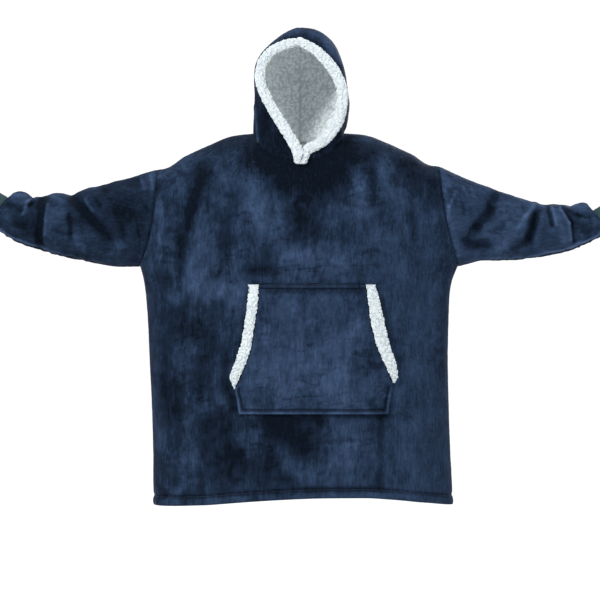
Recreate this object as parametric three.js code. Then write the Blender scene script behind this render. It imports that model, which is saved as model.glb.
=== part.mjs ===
import * as THREE from "three";

// An oversized hooded pullover, filled out as if worn, arms held out to the sides.
// Millimetres. The origin is the middle of the neck at the height of the shoulder points.
// +X is the wearer's left, -Y the front, +Z up.

// Cloth
const WALL = 4; // plush outside with pile inside
const SEAM = 0.3; // gap between neighbouring pieces
const ARMHOLE_GAP = 0.5; // wider there, because both edges curve in space

// Body
const HEM_Z = -888;
const FRONT_HEM_RISE = 25; // the middle of the front hem hangs higher than its corners
const FRONT_HEM_SKEW = 14; // and higher on the left than on the right
const SQUARENESS = 2.8; // power of the superellipse that a level section follows
const SHOULDER_ROUND = 120; // height over which front and back close to the shoulder seam
const NECK_SHARE = 0.32; // half neck width as a share of the half shoulder width
const NECK_Z = 8;
const THROAT_DROP = 70; // neckline below the neck point, at the front
const NAPE_DROP = 12; // and at the back
const NECK_LIFT = 30; // the shoulder line goes on rising inside the neck

// Side seams below the armholes
const SIDES = [
  { z: -888, right: -358, left: 364 },
  { z: -700, right: -361, left: 356 },
  { z: -500, right: -370, left: 352 },
  { z: -400, right: -376, left: 354 },
  { z: -350, right: -382, left: 361 },
  { z: -314, right: -391, left: 375 },
];

// How far front and back stand from the side seams' plane
const DEPTHS = [
  { z: -888, front: 160, back: 152 },
  { z: -660, front: 156, back: 146 },
  { z: -450, front: 150, back: 140 },
  { z: -300, front: 140, back: 134 },
  { z: -150, front: 122, back: 122 },
  { z: -66, front: 106, back: 110 },
  { z: 40, front: 94, back: 94 },
];

// Shoulder line, by distance from the middle
const SHOULDER = [
  { out: 100, right: 8, left: 8 },
  { out: 165, right: -1, left: 2 },
  { out: 210, right: -19, left: -14 },
  { out: 290, right: -55, left: -50 },
  { out: 360, right: -85, left: -82 },
];

// Armholes: the ring where a sleeve meets the body. Its foot flares outwards.
const ARMHOLE = {
  right: { sign: -1, top: -350, flare: 41, bend: 3, z: -197, high: 117, deep: 92 },
  left: { sign: 1, top: 332, flare: 43, bend: 2, z: -193, high: 121, deep: 92 },
};

// Sleeves: sections from the armhole (along 0) to the cuff seam (along 1)
const SLEEVE = {
  right: [
    { along: 0, x: -355, z: -197, high: 117, deep: 92 },
    { along: 0.25, x: -450, z: -210, high: 103, deep: 84 },
    { along: 0.44, x: -518, z: -214, high: 88, deep: 75 },
    { along: 0.62, x: -584, z: -211, high: 75, deep: 67 },
    { along: 0.78, x: -642, z: -206, high: 63, deep: 58 },
    { along: 0.9, x: -689, z: -190, high: 58, deep: 55 },
    { along: 0.97, x: -716, z: -179, high: 49, deep: 46 },
    { along: 1, x: -735, z: -182, high: 41, deep: 38 },
  ],
  left: [
    { along: 0, x: 343, z: -193, high: 121, deep: 92 },
    { along: 0.2, x: 412, z: -203, high: 98, deep: 83 },
    { along: 0.37, x: 475, z: -214, high: 85, deep: 74 },
    { along: 0.56, x: 546, z: -224, high: 71, deep: 65 },
    { along: 0.72, x: 607, z: -225, high: 58, deep: 57 },
    { along: 0.83, x: 648, z: -219, high: 55, deep: 52 },
    { along: 0.93, x: 688, z: -207, high: 49, deep: 48 },
    { along: 0.98, x: 710, z: -200, high: 43, deep: 41 },
    { along: 1, x: 724, z: -209, high: 35, deep: 33 },
  ],
};

// Cuffs: ribbed tubes that point outwards and a little up
const CUFF_RISE = 34; // degrees
const CUFF_LENGTH = 60;
const CUFF_TAPER = 0.9;
const RIBS = 26;
const RIB_HEIGHT = 1.2;

// Hood
const HOOD_SEAM_X = -5;
// Half widths, by place between the neck and the crown
const HOOD_SIDES = [
  { up: 0, right: 112, left: 112 },
  { up: 0.25, right: 110, left: 120 },
  { up: 0.5, right: 111, left: 112 },
  { up: 0.6, right: 110, left: 109 },
  { up: 0.67, right: 106, left: 111 },
  { up: 0.75, right: 96, left: 115 },
  { up: 0.83, right: 85, left: 123 },
  { up: 0.92, right: 68, left: 140 },
  { up: 1, right: 62, left: 150 },
];
const HOOD_SPRING_Z = 138; // height where the crown starts to close
const HOOD_HIGH = 127; // crown above that height
const HOOD_SIDE_Y = 6;
const TRIM_BEHIND = 8; // the hood's edge lies this far behind the trim's middle
const HOOD_BACK = [
  { up: 0, y: 84, z: -4 },
  { up: 0.25, y: 116, z: 45 },
  { up: 0.5, y: 138, z: 105 },
  { up: 0.75, y: 140, z: 158 },
  { up: 1, y: 122, z: 206 },
];

// Middle line of the hood's fleece trim, from the throat to the crown
const OPENING = {
  right: [
    [-11, -114, -65],
    [-18, -109, -32],
    [-46, -101, 20],
    [-80, -93, 76],
    [-100, -87, 130],
    [-96, -83, 165],
    [-76, -79, 195],
    [-42, -75, 214],
    [HOOD_SEAM_X, -73, 221.5],
  ],
  left: [
    [4, -114, -65],
    [13, -109, -43],
    [53, -102, -15],
    [87, -95, 33],
    [96, -88, 99],
    [81, -84, 143],
    [60, -80, 173],
    [31, -76, 202],
    [HOOD_SEAM_X, -73, 221.5],
  ],
};
const TRIM_WIDE = 14.5; // half width
const TRIM_THICK = 7; // half thickness
const TRIM_END_WIDE = 7; // half width where the two halves lie side by side at the throat
const THROAT_LAP = 2; // how much wider they are there before each is cut off at the seam

// Pocket: its sewn sides and the two edges of each fleece trim, by height
const POCKET = [
  { z: -664, right: -148, left: 202 },
  { z: -631, right: -153, left: 207 },
  { z: -607, right: -157, left: 211 },
  { z: -592, right: -151, left: 213 },
  { z: -577, right: -144, left: 206 },
  { z: -541, right: -128, left: 189 },
  { z: -497, right: -116, left: 171 },
  { z: -446, right: -108, left: 159 },
  { z: -401, right: -102, left: 153 },
  { z: -356, right: -100, left: 149 },
];
const POCKET_TRIM = {
  right: [
    { z: -605, inner: -157, outer: -160 },
    { z: -592, inner: -151.5, outer: -167 },
    { z: -577, inner: -144.5, outer: -171 },
    { z: -541, inner: -128.5, outer: -159 },
    { z: -497, inner: -116.5, outer: -144 },
    { z: -446, inner: -108.5, outer: -135 },
    { z: -401, inner: -102.5, outer: -129 },
    { z: -360, inner: -100.5, outer: -127 },
  ],
  left: [
    { z: -591, inner: 213.5, outer: 219 },
    { z: -577, inner: 206.5, outer: 226 },
    { z: -541, inner: 189.5, outer: 221 },
    { z: -497, inner: 171.5, outer: 206 },
    { z: -446, inner: 159.5, outer: 194.5 },
    { z: -401, inner: 153.5, outer: 184 },
    { z: -360, inner: 149.5, outer: 173 },
  ],
};
const POCKET_LIFT = 15; // how far the pocket stands off the front where a hand goes in
const SEWN_LIFT = 0.4;
const POCKET_TRIM_THICK = 5; // half thickness

// Largest folds: a line on the cloth, the fold's half width, and its rise (a trough is below 0)
const FRONT_FOLDS = [
  { x0: -262, z0: -90, x1: -290, z1: -230, wide: 24, rise: -12 },
  { x0: -290, z0: -230, x1: -296, z1: -560, wide: 22, rise: -9 },
  { x0: -335, z0: -230, x1: -335, z1: -620, wide: 20, rise: 6 },
  { x0: 292, z0: -150, x1: 300, z1: -520, wide: 26, rise: -8 },
  { x0: -60, z0: -150, x1: 80, z1: -175, wide: 34, rise: -6 },
  { x0: 263, z0: -700, x1: 272, z1: -888, wide: 30, rise: 9 },
  { x0: 180, z0: -700, x1: 160, z1: -888, wide: 30, rise: -9 },
  { x0: -230, z0: -700, x1: -215, z1: -888, wide: 34, rise: 7 },
];
const BACK_FOLDS = [
  { x0: -250, z0: -90, x1: -280, z1: -420, wide: 28, rise: -12 },
  { x0: 240, z0: -90, x1: 285, z1: -480, wide: 28, rise: -12 },
  { x0: -120, z0: -420, x1: -150, z1: -888, wide: 40, rise: 10 },
  { x0: 20, z0: -480, x1: 30, z1: -888, wide: 44, rise: -10 },
  { x0: 170, z0: -560, x1: 190, z1: -888, wide: 40, rise: 9 },
  { x0: -90, z0: -60, x1: 90, z1: -70, wide: 30, rise: -6 },
];
const SLEEVE_FOLDS = {
  right: {
    front: [
      { x0: -652, z0: -140, x1: -627, z1: -255, wide: 12, rise: -10 },
      { x0: -600, z0: -150, x1: -606, z1: -250, wide: 16, rise: 5 },
      { x0: -562, z0: -130, x1: -448, z1: -260, wide: 14, rise: -10 },
      { x0: -510, z0: -140, x1: -470, z1: -190, wide: 14, rise: 6 },
      { x0: -395, z0: -110, x1: -420, z1: -250, wide: 16, rise: -6 },
      { x0: -690, z0: -140, x1: -668, z1: -200, wide: 12, rise: 4 },
    ],
    back: [
      { x0: -648, z0: -140, x1: -640, z1: -260, wide: 14, rise: -9 },
      { x0: -561, z0: -130, x1: -520, z1: -280, wide: 16, rise: -8 },
      { x0: -420, z0: -110, x1: -470, z1: -290, wide: 20, rise: -8 },
      { x0: -690, z0: -150, x1: -690, z1: -240, wide: 14, rise: 5 },
    ],
  },
  left: {
    front: [
      { x0: 466, z0: -150, x1: 390, z1: -255, wide: 14, rise: -9 },
      { x0: 413, z0: -265, x1: 448, z1: -258, wide: 13, rise: -8 },
      { x0: 562, z0: -172, x1: 518, z1: -262, wide: 11, rise: 7 },
      { x0: 556, z0: -195, x1: 556, z1: -250, wide: 12, rise: -10 },
      { x0: 612, z0: -175, x1: 620, z1: -255, wide: 14, rise: 4 },
      { x0: 652, z0: -165, x1: 662, z1: -252, wide: 10, rise: -9 },
      { x0: 646, z0: -178, x1: 686, z1: -204, wide: 8, rise: 6 },
    ],
    back: [
      { x0: 480, z0: -130, x1: 430, z1: -280, wide: 18, rise: -8 },
      { x0: 570, z0: -160, x1: 556, z1: -280, wide: 14, rise: -8 },
      { x0: 610, z0: -170, x1: 612, z1: -270, wide: 12, rise: 5 },
      { x0: 655, z0: -172, x1: 655, z1: -262, wide: 11, rise: -7 },
    ],
  },
};

// How finely the walls are divided
const SHOULDER_COLUMNS = 10;
const NECK_COLUMNS = 10;
const LOWER_ROWS = 13;
const ARM_ROWS = 11;
const SLEEVE_STEPS = 18;
const HOOD_ROWS = 12;
const TRIM_STEPS = 24;
const TRIM_SIDES = 8;
const POCKET_COLUMNS = 14;
const POCKET_ROWS = 12;
const POCKET_TRIM_STEPS = 14;

const PANEL_COLUMNS = 2 * SHOULDER_COLUMNS + NECK_COLUMNS;
const PANEL_ROWS = LOWER_ROWS + ARM_ROWS;
const MIDDLE_COLUMN = PANEL_COLUMNS / 2;

const { lerp, clamp, smoothstep, degToRad } = THREE.MathUtils;
const QUARTER = Math.PI / 2;

// Value of a table's column at a height or length between its rows, on a smooth curve.
function read(table, key, column, at) {
  const last = table.length - 1;
  const along = clamp(at, table[0][key], table[last][key]);
  let i = 0;
  while (i < last - 1 && table[i + 1][key] < along) i++;
  const slope = (k) => {
    const a = table[Math.max(k - 1, 0)];
    const b = table[Math.min(k + 1, last)];
    return (b[column] - a[column]) / (b[key] - a[key]);
  };
  const [a, b] = [table[i], table[i + 1]];
  const step = b[key] - a[key];
  const t = (along - a[key]) / step;
  const rise = (1 - t) * t * step * ((1 - t) * slope(i) - t * slope(i + 1));
  return lerp(a[column], b[column], t * t * (3 - 2 * t)) + rise;
}

// Height of the folds at a point of the cloth seen from the front or the back.
function foldRise(folds, x, z) {
  let total = 0;
  for (const { x0, z0, x1, z1, wide, rise } of folds) {
    const [dx, dz] = [x1 - x0, z1 - z0];
    const t = clamp(((x - x0) * dx + (z - z0) * dz) / (dx * dx + dz * dz), 0, 1);
    const away = Math.hypot(x - x0 - t * dx, z - z0 - t * dz) / wide;
    total += rise * Math.exp(-away * away);
  }
  return total;
}

// Body

// A point of the armhole ring at an angle: -90 degrees is the underarm, 0 the front, 90 the top.
function armholePoint(side, angle, inset) {
  const { sign, top, flare, bend, z, high, deep } = ARMHOLE[side];
  const down = (1 - Math.sin(angle)) / 2;
  return {
    x: top + sign * flare * down ** bend,
    y: -(deep - inset) * Math.cos(angle),
    z: z + (high - inset) * Math.sin(angle),
    down,
  };
}

// The edge of a panel: its side seam, then its half of the armhole.
function edgePoint(side, row, inset) {
  const { sign, z, high } = ARMHOLE[side];
  if (row < LOWER_ROWS) {
    const height = lerp(HEM_Z, z - high, row / LOWER_ROWS);
    return { x: read(SIDES, "z", side, height) - sign * inset, deep: 0, z: height };
  }
  const angle = Math.PI * ((row - LOWER_ROWS) / ARM_ROWS) - QUARTER;
  const ring = armholePoint(side, angle, inset);
  return { x: ring.x - sign * inset * ring.down ** 2, deep: -ring.y, z: ring.z };
}

// How far a column lies from the middle, from -1 at one edge to 1 at the other.
function columnShare(column) {
  const out = Math.abs(column - MIDDLE_COLUMN);
  const side = Math.sign(column - MIDDLE_COLUMN);
  const neck = NECK_COLUMNS / 2;
  if (out <= neck) return side * NECK_SHARE * Math.sin((QUARTER * out) / neck);
  const rest = (out - neck) / SHOULDER_COLUMNS;
  return side * (1 - (1 - NECK_SHARE) * (1 - rest) ** 2.2);
}

const rightTop = edgePoint("right", PANEL_ROWS, 0);
const leftTop = edgePoint("left", PANEL_ROWS, 0);
const TOP_MIDDLE = (rightTop.x + leftTop.x) / 2;
const TOP_HALF = (leftTop.x - rightTop.x) / 2;

// Height of the shoulder line over a place on the body, rising on inside the neck.
function shoulderZ(x) {
  const out = Math.abs(x - TOP_MIDDLE);
  const neck = out / (TOP_HALF * NECK_SHARE);
  const lift = neck < 1 ? NECK_LIFT * Math.sqrt(1 - neck * neck) : 0;
  const [side, edge] = x < TOP_MIDDLE ? ["right", rightTop] : ["left", leftTop];
  return lerp(read(SHOULDER, "out", side, out) + lift, edge.z, smoothstep(out / TOP_HALF, 0.8, 1));
}

function necklineZ(face, share) {
  const drop = face === "front" ? THROAT_DROP : NAPE_DROP;
  return NECK_Z - drop * (1 - Math.abs(share / NECK_SHARE) ** 4);
}

function panelTopZ(face, share, inset) {
  const atNeck = Math.abs(share) < NECK_SHARE;
  return (atNeck ? necklineZ(face, share) : shoulderZ(TOP_MIDDLE + TOP_HALF * share)) - inset;
}

// Distance of the front or back cloth from the plane of the side seams.
function panelDepth(face, share, x, z, row, armDeep, inset) {
  const closing = 1 - clamp((shoulderZ(x) - inset - z) / SHOULDER_ROUND, 0, 1);
  const full = (read(DEPTHS, "z", face, z) - inset) * Math.sqrt(1 - closing * closing);
  const up = clamp((row - LOWER_ROWS) / ARM_ROWS, 0, 1);
  const power = lerp(1, SQUARENESS, (1 - up) ** 4);
  const bow = Math.max(1 - Math.abs(share) ** SQUARENESS, 0) ** (1 / power);
  return armDeep + (full - armDeep) * bow;
}

// A point of the front or back panel. Columns run from right to left, rows from hem to top.
function panelPoint(face, column, row, inset) {
  const share = columnShare(column);
  const right = edgePoint("right", row, inset);
  const left = edgePoint("left", row, inset);
  const across = (share + 1) / 2;
  const edgeZ = lerp(right.z, left.z, across);
  const x = lerp(right.x, left.x, across);
  const rise = (FRONT_HEM_RISE + FRONT_HEM_SKEW * share) * (1 - share ** 2);
  const hem = HEM_Z + (face === "front" ? rise : 0);
  const top = panelTopZ(face, share, inset);
  const edgeTop = lerp(rightTop.z, leftTop.z, across) - inset;
  const underarm = (ARMHOLE.left.z - ARMHOLE.left.high - HEM_Z) / (edgeTop - HEM_Z);
  const up = (row - LOWER_ROWS) / ARM_ROWS;
  const inside =
    up < 0 ? (underarm * row) / LOWER_ROWS : lerp(underarm, 1, Math.sin(QUARTER * up));
  const outside = (edgeZ - HEM_Z) / (edgeTop - HEM_Z);
  const z = lerp(hem, top, lerp(inside, outside, share ** 2));
  const armDeep = lerp(right.deep, left.deep, across);
  const deep = panelDepth(face, share, x, z, row, armDeep, inset);
  const folds = face === "front" ? FRONT_FOLDS : BACK_FOLDS;
  const flat = smoothstep(1 - Math.abs(share), 0, 0.08) * smoothstep(top - z, 0, 60);
  const out = deep + SEAM / 2 + flat * foldRise(folds, x, z);
  return [x, face === "front" ? -out : out, z];
}

// The front's surface at a place below the armholes, where the pocket lies.
function frontY(x, z) {
  const right = read(SIDES, "z", "right", z);
  const left = read(SIDES, "z", "left", z);
  const share = (2 * (x - right)) / (left - right) - 1;
  return -panelDepth("front", share, x, z, 0, 0, 0) - SEAM / 2 - foldRise(FRONT_FOLDS, x, z);
}

// Sleeves and cuffs

const SLEEVE_AROUND = 2 * ARM_ROWS;

// Folds of the front and the back of a sleeve run into each other over its top and underside.
function sleeveFold(side, angle, x, z) {
  const front = smoothstep(Math.cos(angle), -0.35, 0.35);
  const { front: ahead, back: behind } = SLEEVE_FOLDS[side];
  return front * foldRise(ahead, x, z) + (1 - front) * foldRise(behind, x, z);
}

function sleevePoint(side, around, step, inset) {
  const angle = (2 * Math.PI * around) / SLEEVE_AROUND - QUARTER;
  const along = step / SLEEVE_STEPS;
  const at = (column) => read(SLEEVE[side], "along", column, along);
  const { sign } = ARMHOLE[side];
  const ring = armholePoint(side, angle, inset);
  const tilt = degToRad(CUFF_RISE) * along ** 4;
  const lean = -sign * Math.sin(tilt);
  const flare = (ring.x - SLEEVE[side][0].x) * (1 - smoothstep(along, 0, 0.45));
  const middle = at("x") + flare + sign * ARMHOLE_GAP;
  let high = at("high") - inset;
  let deep = at("deep") - inset;
  const held = smoothstep(along, 0, 0.12) * smoothstep(1 - along, 0, 0.06);
  const up = high * Math.sin(angle);
  const fold = held * sleeveFold(side, angle, middle + lean * up, at("z") + up * Math.cos(tilt));
  high += fold;
  deep += fold;
  return [
    middle + lean * high * Math.sin(angle),
    -deep * Math.cos(angle),
    at("z") + high * Math.cos(tilt) * Math.sin(angle),
  ];
}

function cuffPoint(side, around, step, inset) {
  const end = SLEEVE[side].at(-1);
  const angle = Math.PI * (around / RIBS) - QUARTER;
  const taper = lerp(1, CUFF_TAPER, step);
  const rib = inset === 0 ? RIB_HEIGHT * (around % 2) - RIB_HEIGHT : -inset;
  return [
    (end.high * taper + rib) * Math.sin(angle),
    -(end.deep * taper + rib) * Math.cos(angle),
    step * CUFF_LENGTH,
  ];
}

// Hood

const openings = {};
for (const side of ["right", "left"]) {
  const points = OPENING[side].map((p) => new THREE.Vector3(...p));
  openings[side] = new THREE.CatmullRomCurve3(points, false, "centripetal");
}

// Direction in the opening's own plane, away from the face, at a place on the trim.
function outward(side, up) {
  const tangent = openings[side].getTangent(clamp(up, 0, 1));
  const sign = ARMHOLE[side].sign;
  if (up >= 1) return new THREE.Vector3(0, 0, 1);
  return new THREE.Vector3(tangent.z * sign, 0, -tangent.x * sign).normalize();
}

// The hood's cut edge behind the trim.
function hoodEdge(side, up, inset) {
  const middle = openings[side].getPoint(up);
  const out = outward(side, up);
  const turned = smoothstep(up, 0, 0.5);
  middle.addScaledVector(out, lerp(-8, 6, smoothstep(up, 0, 0.25)) - inset * turned);
  middle.y += TRIM_BEHIND + inset * (1 - turned);
  return middle;
}

const HOOD_STEPS = NECK_COLUMNS;

// The neckline, from the throat round one side to the nape.
function neckPoint(side, step, inset) {
  const half = NECK_COLUMNS / 2;
  const out = step <= half ? step : NECK_COLUMNS - step;
  const column = MIDDLE_COLUMN + ARMHOLE[side].sign * out;
  const [x, y, z] = panelPoint(step <= half ? "front" : "back", column, PANEL_ROWS, 0);
  const point = new THREE.Vector3(x - TOP_MIDDLE, step === half ? 0 : y, 0);
  point.setLength(point.length() - inset);
  const seam = HOOD_SEAM_X + (ARMHOLE[side].sign * SEAM) / 2;
  return point.setX(out === 0 ? seam : point.x + TOP_MIDDLE).setZ(z + SEAM);
}

// A point of one half of the hood: steps run from the opening to the back, rows from neck to crown.
function hoodPoint(side, step, row, inset) {
  const sign = ARMHOLE[side].sign;
  const up = row / HOOD_ROWS;
  const neck = neckPoint(side, step, inset);
  if (row === 0) return neck.toArray();
  const edge = hoodEdge(side, up, inset);
  const crown = QUARTER * clamp(2 * up - 1, 0, 1);
  const wide = (read(HOOD_SIDES, "up", side, up) - inset) * Math.cos(crown);
  const high = (HOOD_HIGH - inset) * Math.sin(crown);
  const sideX = HOOD_SEAM_X + sign * wide;
  const sideZ = lerp(NECK_Z, HOOD_SPRING_Z, clamp(2 * up, 0, 1)) + high;
  const backY = read(HOOD_BACK, "up", "y", up) - inset;
  const backZ = read(HOOD_BACK, "up", "z", up) - inset * smoothstep(up, 0.6, 1);
  const turn = (2 * QUARTER * step) / HOOD_STEPS;
  const point = new THREE.Vector3();
  if (turn <= QUARTER) {
    point.x = lerp(edge.x, sideX, Math.sin(turn));
    point.y = lerp(HOOD_SIDE_Y, edge.y, Math.cos(turn));
    point.z = lerp(edge.z, sideZ, Math.sin(turn));
  } else {
    point.x = lerp(HOOD_SEAM_X, sideX, Math.sin(turn));
    point.y = lerp(HOOD_SIDE_Y, backY, -Math.cos(turn));
    point.z = lerp(backZ, sideZ, Math.sin(turn));
  }
  point.lerpVectors(neck, point, smoothstep(up, 0, 0.3));
  const clear = sign * (point.x - HOOD_SEAM_X);
  point.x = HOOD_SEAM_X + sign * Math.max(clear, SEAM / 2);
  return point.toArray();
}

// A point of the hood's fleece trim: an oval section that runs round the opening.
function trimPoint(side, angle, up) {
  const middle = openings[side].getPoint(up);
  const out = outward(side, up);
  const { sign } = ARMHOLE[side];
  const open = smoothstep(up, 0.06, 0.2);
  const wide = lerp(TRIM_END_WIDE, TRIM_WIDE, open);
  const reach = sign * (middle.x - HOOD_SEAM_X) + THROAT_LAP;
  const inner = lerp(Math.max(wide, reach), wide, open);
  middle.addScaledVector(out, (Math.cos(angle) < 0 ? inner : wide) * Math.cos(angle));
  middle.y -= TRIM_THICK * Math.sin(angle);
  middle.x = HOOD_SEAM_X + sign * Math.max(sign * (middle.x - HOOD_SEAM_X), SEAM / 2);
  return middle.toArray();
}

// Pocket

// How far the pocket stands off the front: sewn top, bottom and lower sides, open slanted sides.
function pocketLift(x, z) {
  const { z: foot } = POCKET[0];
  const { z: head } = POCKET.at(-1);
  const right = read(POCKET, "z", "right", z);
  const left = read(POCKET, "z", "left", z);
  const mouth = smoothstep(z, -602, -535);
  const sides = smoothstep(Math.min(x - right, left - x), 0, 60);
  const ends = smoothstep(z - foot, 0, 70) * smoothstep(head - z, 0, 55);
  return SEWN_LIFT + (POCKET_LIFT - SEWN_LIFT) * ends * Math.max(mouth, sides);
}

function pocketPoint(column, row, inset) {
  const { z: foot } = POCKET[0];
  const { z: head } = POCKET.at(-1);
  const z = lerp(foot, head, row / POCKET_ROWS);
  const right = read(POCKET, "z", "right", z);
  const left = read(POCKET, "z", "left", z);
  const x = lerp(right, left, column / POCKET_COLUMNS);
  return [x, frontY(x, z) - pocketLift(x, z) - WALL + inset, z];
}

function pocketTrimPoint(side, angle, up) {
  const table = POCKET_TRIM[side];
  const z = lerp(table[0].z, table.at(-1).z, up);
  const inner = read(table, "z", "inner", z);
  const outer = read(table, "z", "outer", z);
  const x = lerp(inner, outer, 0.5 - 0.5 * Math.cos(angle));
  const thick = POCKET_TRIM_THICK * Math.min(1, Math.abs(outer - inner) / 12);
  const middle = frontY(x, z) - pocketLift(inner, z) - thick;
  return [x, middle - thick * Math.sin(angle), z];
}

// Meshes

const MATERIALS = {
  plush: new THREE.MeshStandardMaterial({ color: 0x1e2d4b, roughness: 0.9, metalness: 0 }),
  fleece: new THREE.MeshStandardMaterial({ color: 0xe1ebee, roughness: 1, metalness: 0 }),
  rib: new THREE.MeshStandardMaterial({ color: 0x2c3438, roughness: 0.95, metalness: 0 }),
};

// Six times the volume that the faces enclose, below zero when they point inwards.
function volumeOf(points, faces) {
  const [a, b, c] = [0, 1, 2].map(() => new THREE.Vector3());
  let total = 0;
  for (let i = 0; i < faces.length; i += 3) {
    a.fromArray(points, 3 * faces[i]);
    b.fromArray(points, 3 * faces[i + 1]);
    c.fromArray(points, 3 * faces[i + 2]);
    total += a.dot(b.cross(c));
  }
  return total;
}

function addMesh(parent, name, material, points, faces) {
  const outwards = volumeOf(points, faces) > 0 ? faces : faces.slice().reverse();
  const geometry = new THREE.BufferGeometry();
  geometry.setAttribute("position", new THREE.Float32BufferAttribute(points, 3));
  geometry.setIndex(outwards);
  geometry.computeVertexNormals();
  const mesh = new THREE.Mesh(geometry, MATERIALS[material]);
  mesh.name = name;
  parent.add(mesh);
  return mesh;
}

// A wall of cloth: a grid of outer points, the same grid further in, and the rims between them.
// A wall that wraps is a tube, whose last column meets its first.
function addWall(parent, name, material, columns, rows, wraps, point) {
  const across = wraps ? columns : columns + 1;
  const points = [];
  for (const inset of [0, WALL])
    for (let row = 0; row <= rows; row++)
      for (let column = 0; column < across; column++) points.push(...point(column, row, inset));
  const layer = across * (rows + 1);
  const index = (depth, column, row) => depth * layer + row * across + (column % across);
  const faces = [];
  const quad = (a, b, c, d) => faces.push(a, b, c, a, c, d);
  for (let row = 0; row < rows; row++)
    for (let column = 0; column < columns; column++)
      for (const depth of [0, 1]) {
        const corners = [
          index(depth, column, row),
          index(depth, column + 1, row),
          index(depth, column + 1, row + 1),
          index(depth, column, row + 1),
        ];
        quad(...(depth ? corners.reverse() : corners));
      }
  for (let column = 0; column < columns; column++) {
    const next = column + 1;
    quad(index(1, column, 0), index(1, next, 0), index(0, next, 0), index(0, column, 0));
    quad(index(0, column, rows), index(0, next, rows), index(1, next, rows), index(1, column, rows));
  }
  for (let row = 0; row < rows && !wraps; row++) {
    const next = row + 1;
    const last = columns;
    quad(index(0, 0, row), index(0, 0, next), index(1, 0, next), index(1, 0, row));
    quad(index(1, last, row), index(1, last, next), index(0, last, next), index(0, last, row));
  }
  return addMesh(parent, name, material, points, faces);
}

// A solid roll of fleece: oval sections along a line, closed at both ends.
function addRoll(parent, name, steps, point) {
  const points = [];
  for (let step = 0; step <= steps; step++)
    for (let k = 0; k < TRIM_SIDES; k++)
      points.push(...point((2 * Math.PI * (k + 0.5)) / TRIM_SIDES, step / steps));
  const index = (k, step) => step * TRIM_SIDES + (k % TRIM_SIDES);
  const faces = [];
  for (let step = 0; step < steps; step++)
    for (let k = 0; k < TRIM_SIDES; k++) {
      faces.push(index(k, step), index(k + 1, step), index(k + 1, step + 1));
      faces.push(index(k, step), index(k + 1, step + 1), index(k, step + 1));
    }
  for (let k = 1; k < TRIM_SIDES - 1; k++) {
    faces.push(index(0, 0), index(k + 1, 0), index(k, 0));
    faces.push(index(0, steps), index(k, steps), index(k + 1, steps));
  }
  return addMesh(parent, name, "fleece", points, faces);
}

const hoodie = new THREE.Group();

for (const face of ["front", "back"])
  addWall(hoodie, face + "_panel", "plush", PANEL_COLUMNS, PANEL_ROWS, false, (...at) =>
    panelPoint(face, ...at),
  );

for (const side of ["right", "left"]) {
  const sign = ARMHOLE[side].sign;
  addWall(hoodie, "sleeve_" + side, "plush", SLEEVE_AROUND, SLEEVE_STEPS, true, (...at) =>
    sleevePoint(side, ...at),
  );
  const wrist = new THREE.Group();
  const end = SLEEVE[side].at(-1);
  wrist.position.set(end.x + sign * (ARMHOLE_GAP + SEAM), 0, end.z);
  wrist.rotation.y = sign * degToRad(90 - CUFF_RISE);
  hoodie.add(wrist);
  addWall(wrist, "cuff_" + side, "rib", 2 * RIBS, 1, true, (around, step, inset) => {
    const [up, y, out] = cuffPoint(side, around, step, inset);
    return [-sign * up, y, out];
  });
  addWall(hoodie, "hood_" + side, "plush", HOOD_STEPS, HOOD_ROWS, false, (...at) =>
    hoodPoint(side, ...at),
  );
  addRoll(hoodie, "hood_trim_" + side, TRIM_STEPS, (...at) => trimPoint(side, ...at));
  addRoll(hoodie, "pocket_trim_" + side, POCKET_TRIM_STEPS, (...at) =>
    pocketTrimPoint(side, ...at),
  );
}

addWall(hoodie, "pocket", "plush", POCKET_COLUMNS, POCKET_ROWS, false, pocketPoint);

export default hoodie;
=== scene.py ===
import math
from functools import partial

import bpy
import numpy as np
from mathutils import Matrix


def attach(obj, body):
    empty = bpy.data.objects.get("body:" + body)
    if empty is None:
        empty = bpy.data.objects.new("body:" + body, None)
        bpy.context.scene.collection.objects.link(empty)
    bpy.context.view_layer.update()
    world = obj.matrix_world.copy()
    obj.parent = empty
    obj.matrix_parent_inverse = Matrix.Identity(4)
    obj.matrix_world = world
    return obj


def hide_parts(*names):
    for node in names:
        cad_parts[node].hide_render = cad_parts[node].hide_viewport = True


# Oversized hooded pullover of navy plush with off-white fleece trims, worn form without a wearer.
# Shapes are worked out in millimetres, in the frame's axes, and written in metres.

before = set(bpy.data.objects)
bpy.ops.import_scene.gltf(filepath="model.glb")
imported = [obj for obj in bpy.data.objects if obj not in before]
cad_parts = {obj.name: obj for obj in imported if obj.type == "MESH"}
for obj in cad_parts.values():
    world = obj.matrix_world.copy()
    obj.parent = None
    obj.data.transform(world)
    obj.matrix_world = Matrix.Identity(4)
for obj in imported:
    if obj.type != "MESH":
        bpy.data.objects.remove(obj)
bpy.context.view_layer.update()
BODY = "root"
MM = 0.001

# Cut of the garment, as in the solids

SIGN = {"right": -1, "left": 1}  # the wearer's sides, along x
WALL = 4
SEAM = 0.02  # the pieces close up at their seams here
ARMHOLE_GAP = 0.02
CLOSED = 0.6  # points nearer than this to a seam's plane are drawn up to it
HEM_Z = -888
FRONT_HEM_RISE = 25
FRONT_HEM_SKEW = 14
SQUARENESS = 2.8
SHOULDER_ROUND = 120
NECK_SHARE = 0.32
NECK_Z = 8
THROAT_DROP = 70
NAPE_DROP = 12
NECK_LIFT = 30
QUARTER = math.pi / 2

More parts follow.
